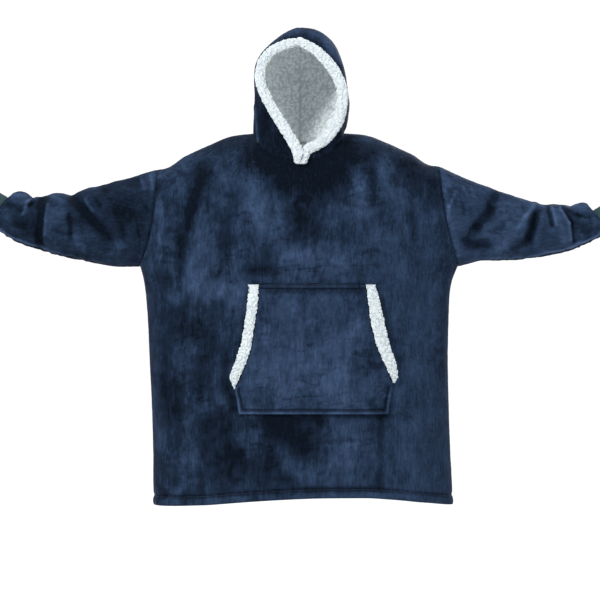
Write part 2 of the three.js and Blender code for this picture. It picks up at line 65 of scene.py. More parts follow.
SIDES = {
    "z": (-888, -700, -500, -400, -350, -314),
    "right": (-358, -361, -370, -376, -382, -391),
    "left": (364, 356, 352, 354, 361, 375),
}
DEPTHS = {
    "z": (-888, -660, -450, -300, -150, -66, 40),
    "front": (160, 156, 150, 140, 122, 106, 94),
    "back": (152, 146, 140, 134, 122, 110, 94),
}
SHOULDER = {
    "out": (100, 165, 210, 290, 360),
    "right": (8, -1, -19, -55, -85),
    "left": (8, 2, -14, -50, -82),
}
ARMHOLE = {
    "right": {"top": -350, "flare": 41, "bend": 3, "z": -197, "high": 117, "deep": 92},
    "left": {"top": 332, "flare": 43, "bend": 2, "z": -193, "high": 121, "deep": 92},
}
SLEEVE = {
    "right": {
        "along": (0, 0.25, 0.44, 0.62, 0.78, 0.9, 0.97, 1),
        "x": (-355, -450, -518, -584, -642, -689, -716, -735),
        "z": (-197, -210, -214, -211, -206, -190, -179, -182),
        "high": (117, 103, 88, 75, 63, 58, 49, 41),
        "deep": (92, 84, 75, 67, 58, 55, 46, 38),
    },
    "left": {
        "along": (0, 0.2, 0.37, 0.56, 0.72, 0.83, 0.93, 0.98, 1),
        "x": (343, 412, 475, 546, 607, 648, 688, 710, 724),
        "z": (-193, -203, -214, -224, -225, -219, -207, -200, -209),
        "high": (121, 98, 85, 71, 58, 55, 49, 43, 35),
        "deep": (92, 83, 74, 65, 57, 52, 48, 41, 33),
    },
}
CUFF_RISE = math.radians(34)
CUFF_LENGTH = 60
CUFF_TAPER = 0.9
CUFF_RIBS = 52
CUFF_RIB_HEIGHT = 1.3

HOOD_SEAM_X = -5
HOOD_SIDES = {
    "up": (0, 0.25, 0.5, 0.6, 0.67, 0.75, 0.83, 0.92, 1),
    "right": (112, 110, 111, 110, 106, 96, 85, 68, 62),
    "left": (112, 120, 112, 109, 111, 115, 123, 140, 150),
}
HOOD_SPRING_Z = 138
HOOD_HIGH = 127
HOOD_SIDE_Y = 6
TRIM_BEHIND = 8
HOOD_BACK = {
    "up": (0, 0.25, 0.5, 0.75, 1),
    "y": (84, 116, 138, 140, 122),
    "z": (-4, 45, 105, 158, 206),
}
OPENING = {
    "right": (
        (-11, -114, -65),
        (-18, -109, -32),
        (-46, -101, 20),
        (-80, -93, 76),
        (-100, -87, 130),
        (-96, -83, 165),
        (-76, -79, 195),
        (-42, -75, 214),
        (HOOD_SEAM_X, -73, 221.5),
    ),
    "left": (
        (4, -114, -65),
        (13, -109, -43),
        (53, -102, -15),
        (87, -95, 33),
        (96, -88, 99),
        (81, -84, 143),
        (60, -80, 173),
        (31, -76, 202),
        (HOOD_SEAM_X, -73, 221.5),
    ),
}
TRIM_WIDE = {
    "up": (0, 0.2, 0.4, 0.8, 1),
    "right": (7, 14, 13.5, 13, 11),
    "left": (7, 14, 14.5, 14, 11),
}
TRIM_THICK = 7
THROAT_BEND = 8  # the line where the two halves meet bends aside this far at the throat
TRIM_OVERHANG = 9  # the fleece ends lie a little lower over the neckline than the solids
TRIM_ROUND = 0.022

POCKET = {
    "z": (-664, -631, -607, -592, -577, -541, -497, -446, -401, -356),
    "right": (-148, -153, -157, -151, -144, -128, -116, -108, -102, -100),
    "left": (202, 207, 211, 213, 206, 189, 171, 159, 153, 149),
}
POCKET_TRIM = {
    "right": {
        "z": (-605, -592, -577, -541, -497, -446, -401, -360),
        "inner": (-157, -151.5, -144.5, -128.5, -116.5, -108.5, -102.5, -100.5),
        "outer": (-160, -167, -171, -159, -144, -135, -129, -127),
    },
    "left": {
        "z": (-591, -577, -541, -497, -446, -401, -360),
        "inner": (213.5, 206.5, 189.5, 171.5, 159.5, 153.5, 149.5),
        "outer": (219, 226, 221, 206, 194.5, 184, 173),
    },
}
POCKET_LIFT = 15
SEWN_LIFT = 0.4
POCKET_MOUTH = (-602, -535)  # heights between which the mouth opens
POCKET_SIDE_SEAM = -600  # the pocket's sides are sewn down below this height
POCKET_TRIM_THICK = 5

# Large folds: a line on the cloth from (x0, z0) to (x1, z1), half width, rise
FRONT_FOLDS = (
    (-262, -90, -290, -230, 24, -12),
    (-290, -230, -296, -560, 22, -9),
    (-335, -230, -335, -620, 20, 6),
    (292, -150, 300, -520, 26, -8),
    (-60, -150, 80, -175, 34, -6),
    (263, -700, 272, -888, 30, 9),
    (180, -700, 160, -888, 30, -9),
    (-230, -700, -215, -888, 34, 7),
)
BACK_FOLDS = (
    (-250, -90, -280, -420, 28, -12),
    (240, -90, 285, -480, 28, -12),
    (-120, -420, -150, -888, 40, 10),
    (20, -480, 30, -888, 44, -10),
    (170, -560, 190, -888, 40, 9),
    (-90, -60, 90, -70, 30, -6),
)
SLEEVE_FOLDS = {
    "right": {
        "front": (
            (-652, -140, -627, -255, 12, -10),
            (-600, -150, -606, -250, 16, 5),
            (-562, -130, -448, -260, 14, -10),
            (-510, -140, -470, -190, 14, 6),
            (-395, -110, -420, -250, 16, -6),
            (-690, -140, -668, -200, 12, 4),
        ),
        "back": (
            (-648, -140, -640, -260, 14, -9),
            (-561, -130, -520, -280, 16, -8),
            (-420, -110, -470, -290, 20, -8),
            (-690, -150, -690, -240, 14, 5),
        ),
    },
    "left": {
        "front": (
            (466, -150, 390, -255, 14, -9),
            (413, -265, 448, -258, 13, -8),
            (562, -172, 518, -262, 11, 7),
            (556, -195, 556, -250, 12, -10),
            (612, -175, 620, -255, 14, 4),
            (652, -165, 662, -252, 10, -9),
            (646, -178, 686, -204, 8, 6),
        ),
        "back": (
            (480, -130, 430, -280, 18, -8),
            (570, -160, 556, -280, 14, -8),
            (610, -170, 612, -270, 12, 5),
            (655, -172, 655, -262, 11, -7),
        ),
    },
}

# Smaller creases that only the looks have
FRONT_CREASES = (
    (-350, -150, -352, -330, 9, 3.5),
    (-372, -300, -330, -390, 10, -3),
    (-225, -100, -240, -190, 10, 2.5),
    (-205, -330, -150, -355, 12, -2),
    (340, -300, 300, -400, 11, -3),
    (318, -110, 326, -260, 9, 2.5),
    (250, -80, 276, -170, 14, -3),
    (-60, -235, 40, -262, 18, 2.5),
    (-100, -700, -60, -760, 16, -3.5),
    (-20, -690, -40, -800, 16, -2.5),
    (60, -700, 70, -860, 26, 3),
    (-300, -600, -170, -630, 14, -2.5),
    (-320, -700, -190, -735, 12, -2),
    (110, -180, 190, -300, 20, -2),
    (215, -640, 300, -690, 14, -2),
)
BACK_CREASES = (
    (-330, -120, -335, -330, 10, 3),
    (335, -120, 338, -330, 10, 3),
    (-60, -120, 70, -140, 16, 2.5),
    (-200, -300, -120, -420, 18, -3),
    (120, -260, 210, -380, 18, -3),
    (-40, -600, -20, -860, 22, 3),
)

# Sleeve creases and brushed patches: a line, half width, rise, change of nap, which also paints
# shade into the troughs and fold shadows and highlights onto the ridges
MARK_RISE, MARK_NAP_AND_SHADE = 5, 6  # their places in a row of this table
SLEEVE_MARKS = {
    "right": (
        (-694, -144, -658, -143, 7, 1, 0.26),
        (-706, -165, -673, -180, 9, -2, -0.34),
        (-690, -196, -660, -206, 10, 0, -0.20),
        (-668, -190, -661, -160, 5, 3.5, 0.34),
        (-661, -160, -642, -150, 5, 3.5, 0.34),
        (-657, -168, -650, -158, 5, -2, -0.36),
        # painted shadow cast by the fold beside it
        (-626, -156, -632, -258, 10, -3.5, -0.56),
        (-610, -168, -617, -240, 4, 2.5, 0.26),
        (-590, -180, -600, -240, 22, 0, 0.12),
        (-500, -190, -380, -200, 60, 0, -0.14),
        (-601, -148, -577, -158, 8, 1, 0.24),
        (-553, -150, -466, -243, 13, -3, -0.34),
        (-520, -156, -501, -181, 5, 2.5, 0.30),
        (-493, -156, -484, -171, 6, -1, -0.20),
        (-557, -192, -553, -246, 6, -2.5, -0.30),
        (-544, -246, -523, -276, 11, 1, 0.20),
        (-586, -226, -584, -238, 14, 0, -0.12),
        (-389, -102, -377, -132, 4, 1.5, 0.20),
        (-365, -96, -356, -132, 4, 1.5, 0.15),
        (-442, -156, -370, -260, 30, 0, -0.10),
        (-688, -210, -664, -222, 9, -1.5, -0.20),
        (-430, -262, -452, -286, 12, 1, 0.14),
        (-470, -130, -400, -120, 16, -1.5, -0.16),
        (-445, -180, -425, -240, 10, -1.5, -0.16),
    ),
    "left": (
        (344, -210, 350, -174, 4, 2, 0.26),
        (350, -174, 367, -138, 4, 2, 0.26),
        (464, -144, 453, -180, 11, -2.5, -0.28),
        (453, -180, 418, -222, 12, -3, -0.32),
        (418, -222, 391, -252, 12, -2.5, -0.26),
        (405, -267, 441, -264, 14, -2, -0.34),
        (373, -288, 405, -272, 8, 1, 0.12),
        (480, -210, 501, -204, 6, -1, -0.20),
        (450, -234, 480, -222, 8, -1, -0.15),
        (516, -226, 537, -198, 6, 4, 0.24),
        (537, -198, 558, -172, 6, 4, 0.32),
        (562, -190, 545, -246, 11, -4, -0.44),
        (575, -200, 560, -250, 8, 1.5, 0.16),
        (543, -246, 510, -276, 9, -2, -0.22),
        (486, -262, 456, -288, 14, 1, 0.18),
        (593, -173, 600, -216, 5, -3, -0.38),
        (604, -176, 610, -216, 4, 2.5, 0.28),
        (633, -177, 649, -210, 5, -3.5, -0.42),
        (649, -210, 655, -252, 5, -3.5, -0.42),
        (622, -176, 642, -212, 4.5, 4, 0.26),
        (642, -212, 647, -250, 4.5, 4, 0.24),
        (616, -200, 628, -250, 10, 0, 0.14),
        (657, -210, 690, -238, 14, 0, -0.24),
        (642, -180, 666, -193, 6, -3, -0.34),
        (666, -193, 690, -197, 6, -3, -0.30),
        (660, -172, 684, -174, 7, 2, 0.16),
        (385, -126, 397, -150, 3.5, 1.5, 0.20),
        (406, -126, 412, -150, 3.5, 1.5, 0.18),
    ),
}

HOOD_CREASES = (
    (-111, 74, -104, -16, 5, 2.5),
    (70, -10, 91, 15, 4, 2.5),
    (87, -20, 102, 0, 4, 2.5),
)

PANEL_LOWER = 13
PANEL_ARM = 11
PANEL_ROWS = PANEL_LOWER + PANEL_ARM
NECK_COLUMNS = 10
PANEL_COLUMNS = 30
MIDDLE_COLUMN = 15
NECK_ENDS = (10, 20)  # the columns where the neckline meets the shoulders
HOOD_ROWS = 12
SLEEVE_AROUND = 22
SLEEVE_STEPS = 18

# Numbers

TURN = np.array([[0.80, 0.36, 0.48], [-0.60, 0.48, 0.64], [0.0, -0.80, 0.60]])
CELLS = 64
LATTICE = np.random.default_rng(11).uniform(-1, 1, (CELLS, CELLS, CELLS))
JITTER = np.random.default_rng(23).uniform(0.1, 0.9, (CELLS, CELLS, CELLS, 3))


def smooth(value, low, high):
    t = np.clip((value - low) / (high - low), 0, 1)
    return t * t * (3 - 2 * t)


def mix(a, b, t):
    return a + (b - a) * t


def bell(value, middle, wide):
    """1 at the middle, and softly down to 0 on both sides of it."""
    return np.exp(-(((value - middle) / wide) ** 2))


def read(table, key, column, at):
    """Value of a table's column between its rows, on a smooth curve."""
    keys = np.asarray(table[key], float)
    values = np.asarray(table[column], float)
    last = len(keys) - 1
    at = np.clip(at, keys[0], keys[-1])
    i = np.clip(np.searchsorted(keys, at, side="left") - 1, 0, last - 1)
    place = np.arange(last + 1)
    below, above = np.maximum(place - 1, 0), np.minimum(place + 1, last)
    slope = (values[above] - values[below]) / (keys[above] - keys[below])
    step = keys[i + 1] - keys[i]
    t = (at - keys[i]) / step
    rise = (1 - t) * t * step * ((1 - t) * slope[i] - t * slope[i + 1])
    return mix(values[i], values[i + 1], t * t * (3 - 2 * t)) + rise


def lines(table, x, z):
    """Sum of soft ridges and troughs along lines on the cloth, seen from the front or the back."""
    total = np.zeros(np.broadcast(x, z).shape)
    for x0, z0, x1, z1, wide, rise in table:
        dx, dz = x1 - x0, z1 - z0
        t = np.clip(((x - x0) * dx + (z - z0) * dz) / max(dx * dx + dz * dz, 1), 0, 1)
        away = ((x - x0 - t * dx) ** 2 + (z - z0 - t * dz) ** 2) / wide**2
        total += rise * np.exp(-away)
    return total


def noise(points, size, seed=0):
    """Smooth noise from -1 to 1, with blobs of about this size in mm along each axis."""
    at = points / np.asarray(size, float) + 37.73 * seed + 500
    whole = np.floor(at).astype(int)
    t = at - whole
    t = t * t * (3 - 2 * t)
    total = np.zeros(at.shape[:-1])
    for corner in np.ndindex(2, 2, 2):
        weight = np.prod(np.where(corner, t, 1 - t), axis=-1)
        i, j, k = np.moveaxis((whole + corner) % CELLS, -1, 0)
        total += weight * LATTICE[i, j, k]
    return total


def blobs(points, size, seed=0):
    """Noise from -1 to 1 whose blobs show no grid: two turned layers, bent by a third."""
    bent = points + 0.3 * size * noise(points, size * 0.8, seed + 0.5)[..., None]
    return 0.62 * (noise(bent @ TURN, size, seed) + noise(bent @ TURN.T, size * 0.71, seed + 0.3))


def tufts(points, size, seed=0):
    """Rounded bumps of about this size in mm, from 0 between them to 1 at their tops."""
    at = points / size + 19.37 * seed + 500
    whole = np.floor(at).astype(int)
    nearest = np.full(at.shape[:-1], 9.0)
    for shift in np.ndindex(3, 3, 3):
        cell = whole + shift - 1
        i, j, k = np.moveaxis(cell % CELLS, -1, 0)
        nearest = np.minimum(nearest, ((at - cell - JITTER[i, j, k]) ** 2).sum(-1))
    return 1 - np.clip(nearest / 0.6, 0, 1)


def stack(*parts):
    return np.stack(np.broadcast_arrays(*parts), axis=-1)


# The garment's form


def armhole_point(side, angle, inset):
    a = ARMHOLE[side]
    down = (1 - np.sin(angle)) / 2
    x = a["top"] + SIGN[side] * a["flare"] * down ** a["bend"]
    y = -(a["deep"] - inset) * np.cos(angle)
    return x, y, a["z"] + (a["high"] - inset) * np.sin(angle), down


def edge_point(side, row, inset):
    a = ARMHOLE[side]
    low = row < PANEL_LOWER
    foot = a["z"] - a["high"]
    height = mix(HEM_Z, foot, np.minimum(row, PANEL_LOWER) / PANEL_LOWER)
    angle = math.pi * (np.maximum(row, PANEL_LOWER) - PANEL_LOWER) / PANEL_ARM - QUARTER
    x, y, z, down = armhole_point(side, angle, inset)
    seam = read(SIDES, "z", side, height) - SIGN[side] * inset
    x = np.where(low, seam, x - SIGN[side] * inset * down**2)
    return x, np.where(low, 0, -y), np.where(low, height, z)


def column_share(column):
    out = np.abs(column - MIDDLE_COLUMN)
    side = np.sign(column - MIDDLE_COLUMN)
    neck = NECK_COLUMNS / 2
    near = NECK_SHARE * np.sin(QUARTER * np.minimum(out, neck) / neck)
    rest = np.clip((out - neck) / (MIDDLE_COLUMN - neck), 0, 1)
    return side * np.where(out <= neck, near, 1 - (1 - NECK_SHARE) * (1 - rest) ** 2.2)


RIGHT_TOP = [float(v) for v in edge_point("right", PANEL_ROWS, 0)]
LEFT_TOP = [float(v) for v in edge_point("left", PANEL_ROWS, 0)]
TOP_MIDDLE = (RIGHT_TOP[0] + LEFT_TOP[0]) / 2
TOP_HALF = (LEFT_TOP[0] - RIGHT_TOP[0]) / 2


def shoulder_z(x):
    out = np.abs(x - TOP_MIDDLE)
    neck = np.clip(out / (TOP_HALF * NECK_SHARE), 0, 1)
    lift = NECK_LIFT * np.sqrt(1 - neck * neck)
    right = x < TOP_MIDDLE
    edge = np.where(right, RIGHT_TOP[2], LEFT_TOP[2])
    line = np.where(
        right, read(SHOULDER, "out", "right", out), read(SHOULDER, "out", "left", out)
    )
    return mix(line + lift, edge, smooth(out / TOP_HALF, 0.8, 1))


def panel_top_z(face, share, inset):
    drop = THROAT_DROP if face == "front" else NAPE_DROP
    neckline = NECK_Z - drop * (1 - np.abs(share / NECK_SHARE) ** 4)
    line = shoulder_z(TOP_MIDDLE + TOP_HALF * share)
    return np.where(np.abs(share) < NECK_SHARE, neckline, line) - inset


def panel_depth(face, share, x, z, row, arm_deep, inset):
    closing = 1 - np.clip((shoulder_z(x) - inset - z) / SHOULDER_ROUND, 0, 1)
    full = (read(DEPTHS, "z", face, z) - inset) * np.sqrt(1 - closing * closing)
    up = np.clip((row - PANEL_LOWER) / PANEL_ARM, 0, 1)
    power = mix(1, SQUARENESS, (1 - up) ** 4)
    bow = np.maximum(1 - np.abs(share) ** SQUARENESS, 0) ** (1 / power)
    return arm_deep + (full - arm_deep) * bow


def panel_point(face, column, row, inset):
    share = column_share(column)
    right, left = edge_point("right", row, inset), edge_point("left", row, inset)
    across = (share + 1) / 2
    edge_z = mix(right[2], left[2], across)
    x = mix(right[0], left[0], across)
    rise = (FRONT_HEM_RISE + FRONT_HEM_SKEW * share) * (1 - share**2)
    hem = HEM_Z + (rise if face == "front" else 0 * share)
    top = panel_top_z(face, share, inset)
    edge_top = mix(RIGHT_TOP[2], LEFT_TOP[2], across) - inset
    foot = ARMHOLE["left"]["z"] - ARMHOLE["left"]["high"]
    underarm = (foot - HEM_Z) / (edge_top - HEM_Z)
    up = (row - PANEL_LOWER) / PANEL_ARM
    rising = mix(underarm, 1, np.sin(QUARTER * np.clip(up, 0, 1)))
    inside = np.where(up < 0, underarm * row / PANEL_LOWER, rising)
    outside = (edge_z - HEM_Z) / (edge_top - HEM_Z)
    z = mix(hem, top, mix(inside, outside, share**2))
    arm_deep = mix(right[1], left[1], across)
    deep = panel_depth(face, share, x, z, row, arm_deep, inset)
    folds = FRONT_FOLDS if face == "front" else BACK_FOLDS
    flat = smooth(1 - np.abs(share), 0, 0.08) * smooth(top - z, 0, 60)
    out = deep + SEAM / 2 + flat * lines(folds, x, z)
    return stack(x, -out if face == "front" else out, z)


def front_y(x, z):
    right, left = read(SIDES, "z", "right", z), read(SIDES, "z", "left", z)
    share = 2 * (x - right) / (left - right) - 1
    return -panel_depth("front", share, x, z, 0, 0, 0) - SEAM / 2 - lines(FRONT_FOLDS, x, z)


def sleeve_fold(side, angle, x, z):
    front = smooth(np.cos(angle), -0.35, 0.35)
    folds = SLEEVE_FOLDS[side]
    return front * lines(folds["front"], x, z) + (1 - front) * lines(folds["back"], x, z)


def sleeve_point(side, around, step, inset):
    angle = 2 * math.pi * around / SLEEVE_AROUND - QUARTER
    along = step / SLEEVE_STEPS
    table = SLEEVE[side]
    mid_x, mid_z, high, deep = (read(table, "along", c, along) for c in ("x", "z", "high", "deep"))
    high, deep = high - inset, deep - inset
    sign = SIGN[side]
    ring_x = armhole_point(side, angle, inset)[0]
    tilt = CUFF_RISE * along**4
    lean = -sign * np.sin(tilt)
    flare = (ring_x - table["x"][0]) * (1 - smooth(along, 0, 0.45))
    middle = mid_x + flare + sign * ARMHOLE_GAP
    held = smooth(along, 0, 0.12) * smooth(1 - along, 0, 0.06)
    up = high * np.sin(angle)
    fold = held * sleeve_fold(side, angle, middle + lean * up, mid_z + up * np.cos(tilt))
    high, deep = high + fold, deep + fold
    return stack(
        middle + lean * high * np.sin(angle),
        -deep * np.cos(angle),
        mid_z + high * np.cos(tilt) * np.sin(angle),
    )


def cuff_point(side, around, step, inset):
    """A cuff is a ribbed tube that points outwards and a little up; around and step run 0 to 1."""
    table, sign = SLEEVE[side], SIGN[side]
    angle = 2 * math.pi * around - QUARTER
    taper = mix(1, CUFF_TAPER, step)
    rib = -inset + 0 * angle
    if inset == 0:
        rib = CUFF_RIB_HEIGHT * (np.abs(np.cos(math.pi * CUFF_RIBS * around)) ** 0.7 - 1)
    up = (table["high"][-1] * taper + rib) * np.sin(angle)
    y = -(table["deep"][-1] * taper + rib) * np.cos(angle)
    out = step * CUFF_LENGTH
    turn = QUARTER - CUFF_RISE
    x = table["x"][-1] + sign * (ARMHOLE_GAP + SEAM)
    return stack(
        x + sign * (-up * math.cos(turn) + out * math.sin(turn)),
        y,
        table["z"][-1] + up * math.sin(turn) + out * math.cos(turn),
    )


def opening_point(side, up):
    """Middle line of the hood's trim: a centripetal curve through its points."""
    knots = np.asarray(OPENING[side], float)
    knots = np.vstack([2 * knots[0] - knots[1], knots, 2 * knots[-1] - knots[-2]])
    last = len(knots) - 4
    at = np.clip(up, 0, 1) * (last + 1)
    i = np.minimum(np.floor(at).astype(int), last)
    t = (at - i)[..., None]
    a, b, c, d = (knots[i + k] for k in range(4))
    gaps = [np.linalg.norm(q - p, axis=-1)[..., None] ** 0.5 for p, q in ((a, b), (b, c), (c, d))]
    start = (b - a) / gaps[0] - (c - a) / (gaps[0] + gaps[1]) + (c - b) / gaps[1]
    end = (c - b) / gaps[1] - (d - b) / (gaps[1] + gaps[2]) + (d - c) / gaps[2]
    start, end = start * gaps[1], end * gaps[1]
    bend = -3 * b + 3 * c - 2 * start - end
    return b + start * t + bend * t**2 + (2 * b - 2 * c + start + end) * t**3


def outward(side, up):
    step = 1e-4
    tangent = opening_point(side, up + step) - opening_point(side, up - step)
    sign = SIGN[side]
    away = stack(tangent[..., 2] * sign, 0 * up, -tangent[..., 0] * sign)
    away = away / np.linalg.norm(away, axis=-1)[..., None]
    return np.where((up >= 1)[..., None], [0.0, 0.0, 1.0], away)


def neck_point(side, step, inset):
    half = NECK_COLUMNS / 2
    column = MIDDLE_COLUMN + SIGN[side] * np.where(step <= half, step, NECK_COLUMNS - step)
    at_front = (step <= half)[..., None]
    top = PANEL_ROWS + 0 * step
    point = np.where(
        at_front, panel_point("front", column, top, 0), panel_point("back", column, top, 0)
    )
    x, y = point[..., 0] - TOP_MIDDLE, point[..., 1]
    shrink = 1 - inset / np.hypot(x, y)
    middle = np.maximum(0, 1 - np.minimum(step, NECK_COLUMNS - step))
    across = x * shrink + TOP_MIDDLE + (HOOD_SEAM_X - TOP_MIDDLE) * middle
    return stack(across, y * shrink, point[..., 2] + SEAM)


def hood_point(side, step, row, inset):
    step, row = np.broadcast_arrays(np.asarray(step, float), np.asarray(row, float))
    sign = SIGN[side]
    up = row / HOOD_ROWS
    neck = neck_point(side, step, inset)
    turned = smooth(up, 0, 0.5)
    edge = opening_point(side, up)
    edge = edge + outward(side, up) * (mix(-8, 6, smooth(up, 0, 0.25)) - inset * turned)[..., None]
    edge_y = edge[..., 1] + TRIM_BEHIND + inset * (1 - turned)
    crown = QUARTER * np.clip(2 * up - 1, 0, 1)
    wide = read(HOOD_SIDES, "up", side, up) - inset
    side_x = HOOD_SEAM_X + sign * wide * np.cos(crown)
    side_z = mix(NECK_Z, HOOD_SPRING_Z, np.clip(2 * up, 0, 1)) + (HOOD_HIGH - inset) * np.sin(crown)
    back_y = read(HOOD_BACK, "up", "y", up) - inset
    back_z = read(HOOD_BACK, "up", "z", up) - inset * smooth(up, 0.6, 1)
    turn = math.pi * step / NECK_COLUMNS
    ahead = turn <= QUARTER
    x = np.where(ahead, edge[..., 0], HOOD_SEAM_X + 0 * turn)
    z = np.where(ahead, edge[..., 2], back_z)
    y = np.where(ahead, edge_y, back_y)
    point = stack(
        mix(x, side_x, np.sin(turn)),
        mix(HOOD_SIDE_Y, y, np.abs(np.cos(turn))),
        mix(z, side_z, np.sin(turn)),
    )
    point = mix(neck, point, smooth(up, 0, 0.3)[..., None])
    point[..., 0] = HOOD_SEAM_X + sign * np.maximum(sign * (point[..., 0] - HOOD_SEAM_X), SEAM / 2)
    return point


def meeting_x(z):
    """The line where the two halves of the hood's trim meet."""
    return HOOD_SEAM_X + THROAT_BEND * smooth(z, -72, -50) * smooth(-z, 5, 36)


def own_side(side, point):
    meeting, sign = meeting_x(point[..., 2]), SIGN[side]
    return meeting + sign * np.maximum(sign * (point[..., 0] - meeting), SEAM / 2)


def trim_point(side, angle, up):
    rounded = np.sqrt(1 - (1 - np.clip(up / TRIM_ROUND, 0.02, 1)) ** 2)
    opened = smooth(up, 0.06, 0.2)
    wide = read(TRIM_WIDE, "up", side, up) * rounded
    middle, sign = opening_point(side, up), SIGN[side]
    meeting = HOOD_SEAM_X + THROAT_BEND * smooth(up, 0, 0.06) * (1 - opened)
    reach = sign * (middle[..., 0] - meeting) + 3
    inner = mix(np.maximum(wide, reach), wide, opened)
    across = np.where(np.cos(angle) < 0, inner, wide) * np.cos(angle)
    aside = mix(np.array([sign, 0.0, 0.0]), outward(side, up), smooth(up, 0, 0.05)[..., None])
    point = middle + aside * across[..., None]
    tall = np.sin(angle)
    full = np.where(np.cos(angle) < 0, mix(0.3, 1, opened), 1)
    point[..., 1] -= TRIM_THICK * rounded * np.sign(tall) * np.abs(tall) ** full
    point[..., 2] -= TRIM_OVERHANG * (1 - smooth(up, 0, 0.12))
    point[..., 0] = own_side(side, point)
    return point


def pocket_lift(x, z):
    foot, head = POCKET["z"][0], POCKET["z"][-1]
    right, left = read(POCKET, "z", "right", z), read(POCKET, "z", "left", z)
    mouth = smooth(z, *POCKET_MOUTH)
    sides = smooth(np.minimum(x - right, left - x), 0, 60)
    ends = smooth(z - foot, 0, 70) * smooth(head - z, 0, 55)
    return SEWN_LIFT + (POCKET_LIFT - SEWN_LIFT) * ends * np.maximum(mouth, sides)


def pocket_point(across, up, inset):
    z = mix(POCKET["z"][0], POCKET["z"][-1], up)
    x = mix(read(POCKET, "z", "right", z), read(POCKET, "z", "left", z), across)
    return stack(x, front_y(x, z) - pocket_lift(x, z) - WALL + inset, z)


def pocket_trim_point(side, angle, up):
    table = POCKET_TRIM[side]
    z = mix(table["z"][0], table["z"][-1], up)
    inner, outer = read(table, "z", "inner", z), read(table, "z", "outer", z)
    x = mix(inner, outer, 0.5 - 0.5 * np.cos(angle))
    thick = POCKET_TRIM_THICK * np.minimum(1, np.abs(outer - inner) / 12)
    middle = front_y(x, z) - pocket_lift(inner, z) - thick
    return stack(x, middle - thick * np.sin(angle), z)


# Evenly spaced grids on those forms


def even(point, columns, rows, spacing, keep_columns=(), keep_rows=()):
    """Places along columns and rows, about even on the surface, an even number of each."""
    tried = [np.linspace(0, end, 360) for end in (columns, rows)]
    sample = point(tried[0][None, :], tried[1][:, None], 0)
    places = []
    for axis, kept in ((1, keep_columns), (0, keep_rows)):
        gaps = np.linalg.norm(np.diff(sample, axis=axis), axis=2).mean(axis=1 - axis)
        run = np.concatenate([[0], np.cumsum(gaps)])
        count = 2 * max(1, round(run[-1] / spacing / 2))
        place = np.interp(np.linspace(0, run[-1], count + 1), run, tried[1 - axis])
        for value in kept:
            place[np.abs(place - value).argmin()] = value
        places.append(place)
    return places


def normals_of(points, wraps, centre):
    if wraps:
        across = np.roll(points, -1, axis=1) - np.roll(points, 1, axis=1)
    else:
        across = np.gradient(points, axis=1)
    normal = np.cross(across, np.gradient(points, axis=0))
    normal /= np.maximum(np.linalg.norm(normal, axis=-1), 1e-9)[..., None]
    sign = 1 if (normal * (points - centre)).sum() > 0 else -1
    return normal * sign, sign


def edge_distances(points):
    """How far each point lies from the first and last column and the lowest and highest row."""
    found = []
    for axis in (1, 0):
        gaps = np.linalg.norm(np.diff(points, axis=axis), axis=2)
        start = np.insert(np.cumsum(gaps, axis=axis), 0, 0, axis=axis)
        found += [start, np.take(start, [-1], axis) - start]
    return found


def lowest_near(rise, wraps):
    """The least rise within two steps of each point, so that no lining comes through a crease."""
    for axis in (0, 1):
        ends = ((2, 2), (0, 0)) if axis == 0 else ((0, 0), (2, 2))
        wide = np.pad(rise, ends, mode="wrap" if wraps and axis else "edge")
        count = rise.shape[axis]
        rise = np.minimum.reduce([np.take(wide, np.arange(k, k + count), axis) for k in range(5)])
    return rise


def new_mesh(name, points, faces, material_of_face, materials, nap_and_shade=None):
    mesh = bpy.data.meshes.new(name)
    mesh.from_pydata((points * MM).tolist(), [], faces)
    mesh.validate()
    mesh.polygons.foreach_set("material_index", material_of_face)
    mesh.polygons.foreach_set("use_smooth", [True] * len(mesh.polygons))
    for material in materials:
        mesh.materials.append(material)
    if nap_and_shade is not None:
        layer = mesh.attributes.new("nap_and_shade", "FLOAT", "POINT")
        layer.data.foreach_set("value", np.clip(nap_and_shade, 0, 1).astype(np.float32))
    mesh.update()
    piece = bpy.data.objects.new(name, mesh)
    bpy.context.scene.collection.objects.link(piece)
    return piece


def grid_faces(index):
    """Four-cornered faces of a grid of vertex numbers."""
    quads = np.stack([index[:-1, :-1], index[:-1, 1:], index[1:, 1:], index[1:, :-1]], axis=-1)
    return quads.reshape(-1, 4)


def grid_index(grid, wraps, start=0):
    """Vertex numbers of a grid. Round a tube, its first column comes again at the end."""
    index = start + np.arange(grid.shape[0] * grid.shape[1]).reshape(grid.shape[:2])
    return np.hstack([index, index[:, :1]]) if wraps else index


def rim_loops(index, wraps):
    """Vertex numbers along a grid's free edges, in the order its faces run."""
    if wraps:
        return [index[0], index[-1][::-1]]
    loop = [index[0], index[1:, -1], index[-1, ::-1][1:], index[::-1, 0][1:]]
    return [np.concatenate(loop)]


def rim_faces(far, near, skip):
    """Faces from an outer edge to the inner one, which has a point for every skip outer points."""
    if skip == 1:
        return np.stack([far[1:], far[:-1], near[:-1], near[1:]], axis=-1).tolist()
    start, middle, end = far[:-2:2], far[1:-1:2], far[2::2]
    rows = ((middle, start, near[:-1]), (middle, near[:-1], near[1:]), (end, middle, near[1:]))
    return [face for row in rows for face in np.stack(row, axis=-1).tolist()]


def build_wall(name, outer, inner, skip, wraps, sign, materials, nap_and_shade):
    """Cloth with two sides: the outer grid, the inner one, and the rims between them."""
    outer_index = grid_index(outer, wraps)
    inner_index = grid_index(inner, wraps, outer[..., 0].size)
    points = np.vstack([outer.reshape(-1, 3), inner.reshape(-1, 3)])
    outside = grid_faces(outer_index).tolist()
    inside = grid_faces(inner_index)[:, ::-1].tolist()
    rims = []
    for far, near in zip(rim_loops(outer_index, wraps), rim_loops(inner_index, wraps)):
        rims += rim_faces(far, near, skip)
    faces = outside + inside + rims
    if sign < 0:
        faces = [face[::-1] for face in faces]
    material_of_face = [0] * len(outside) + [1] * len(inside) + [0] * len(rims)
    return new_mesh(name, points, faces, material_of_face, materials, nap_and_shade)
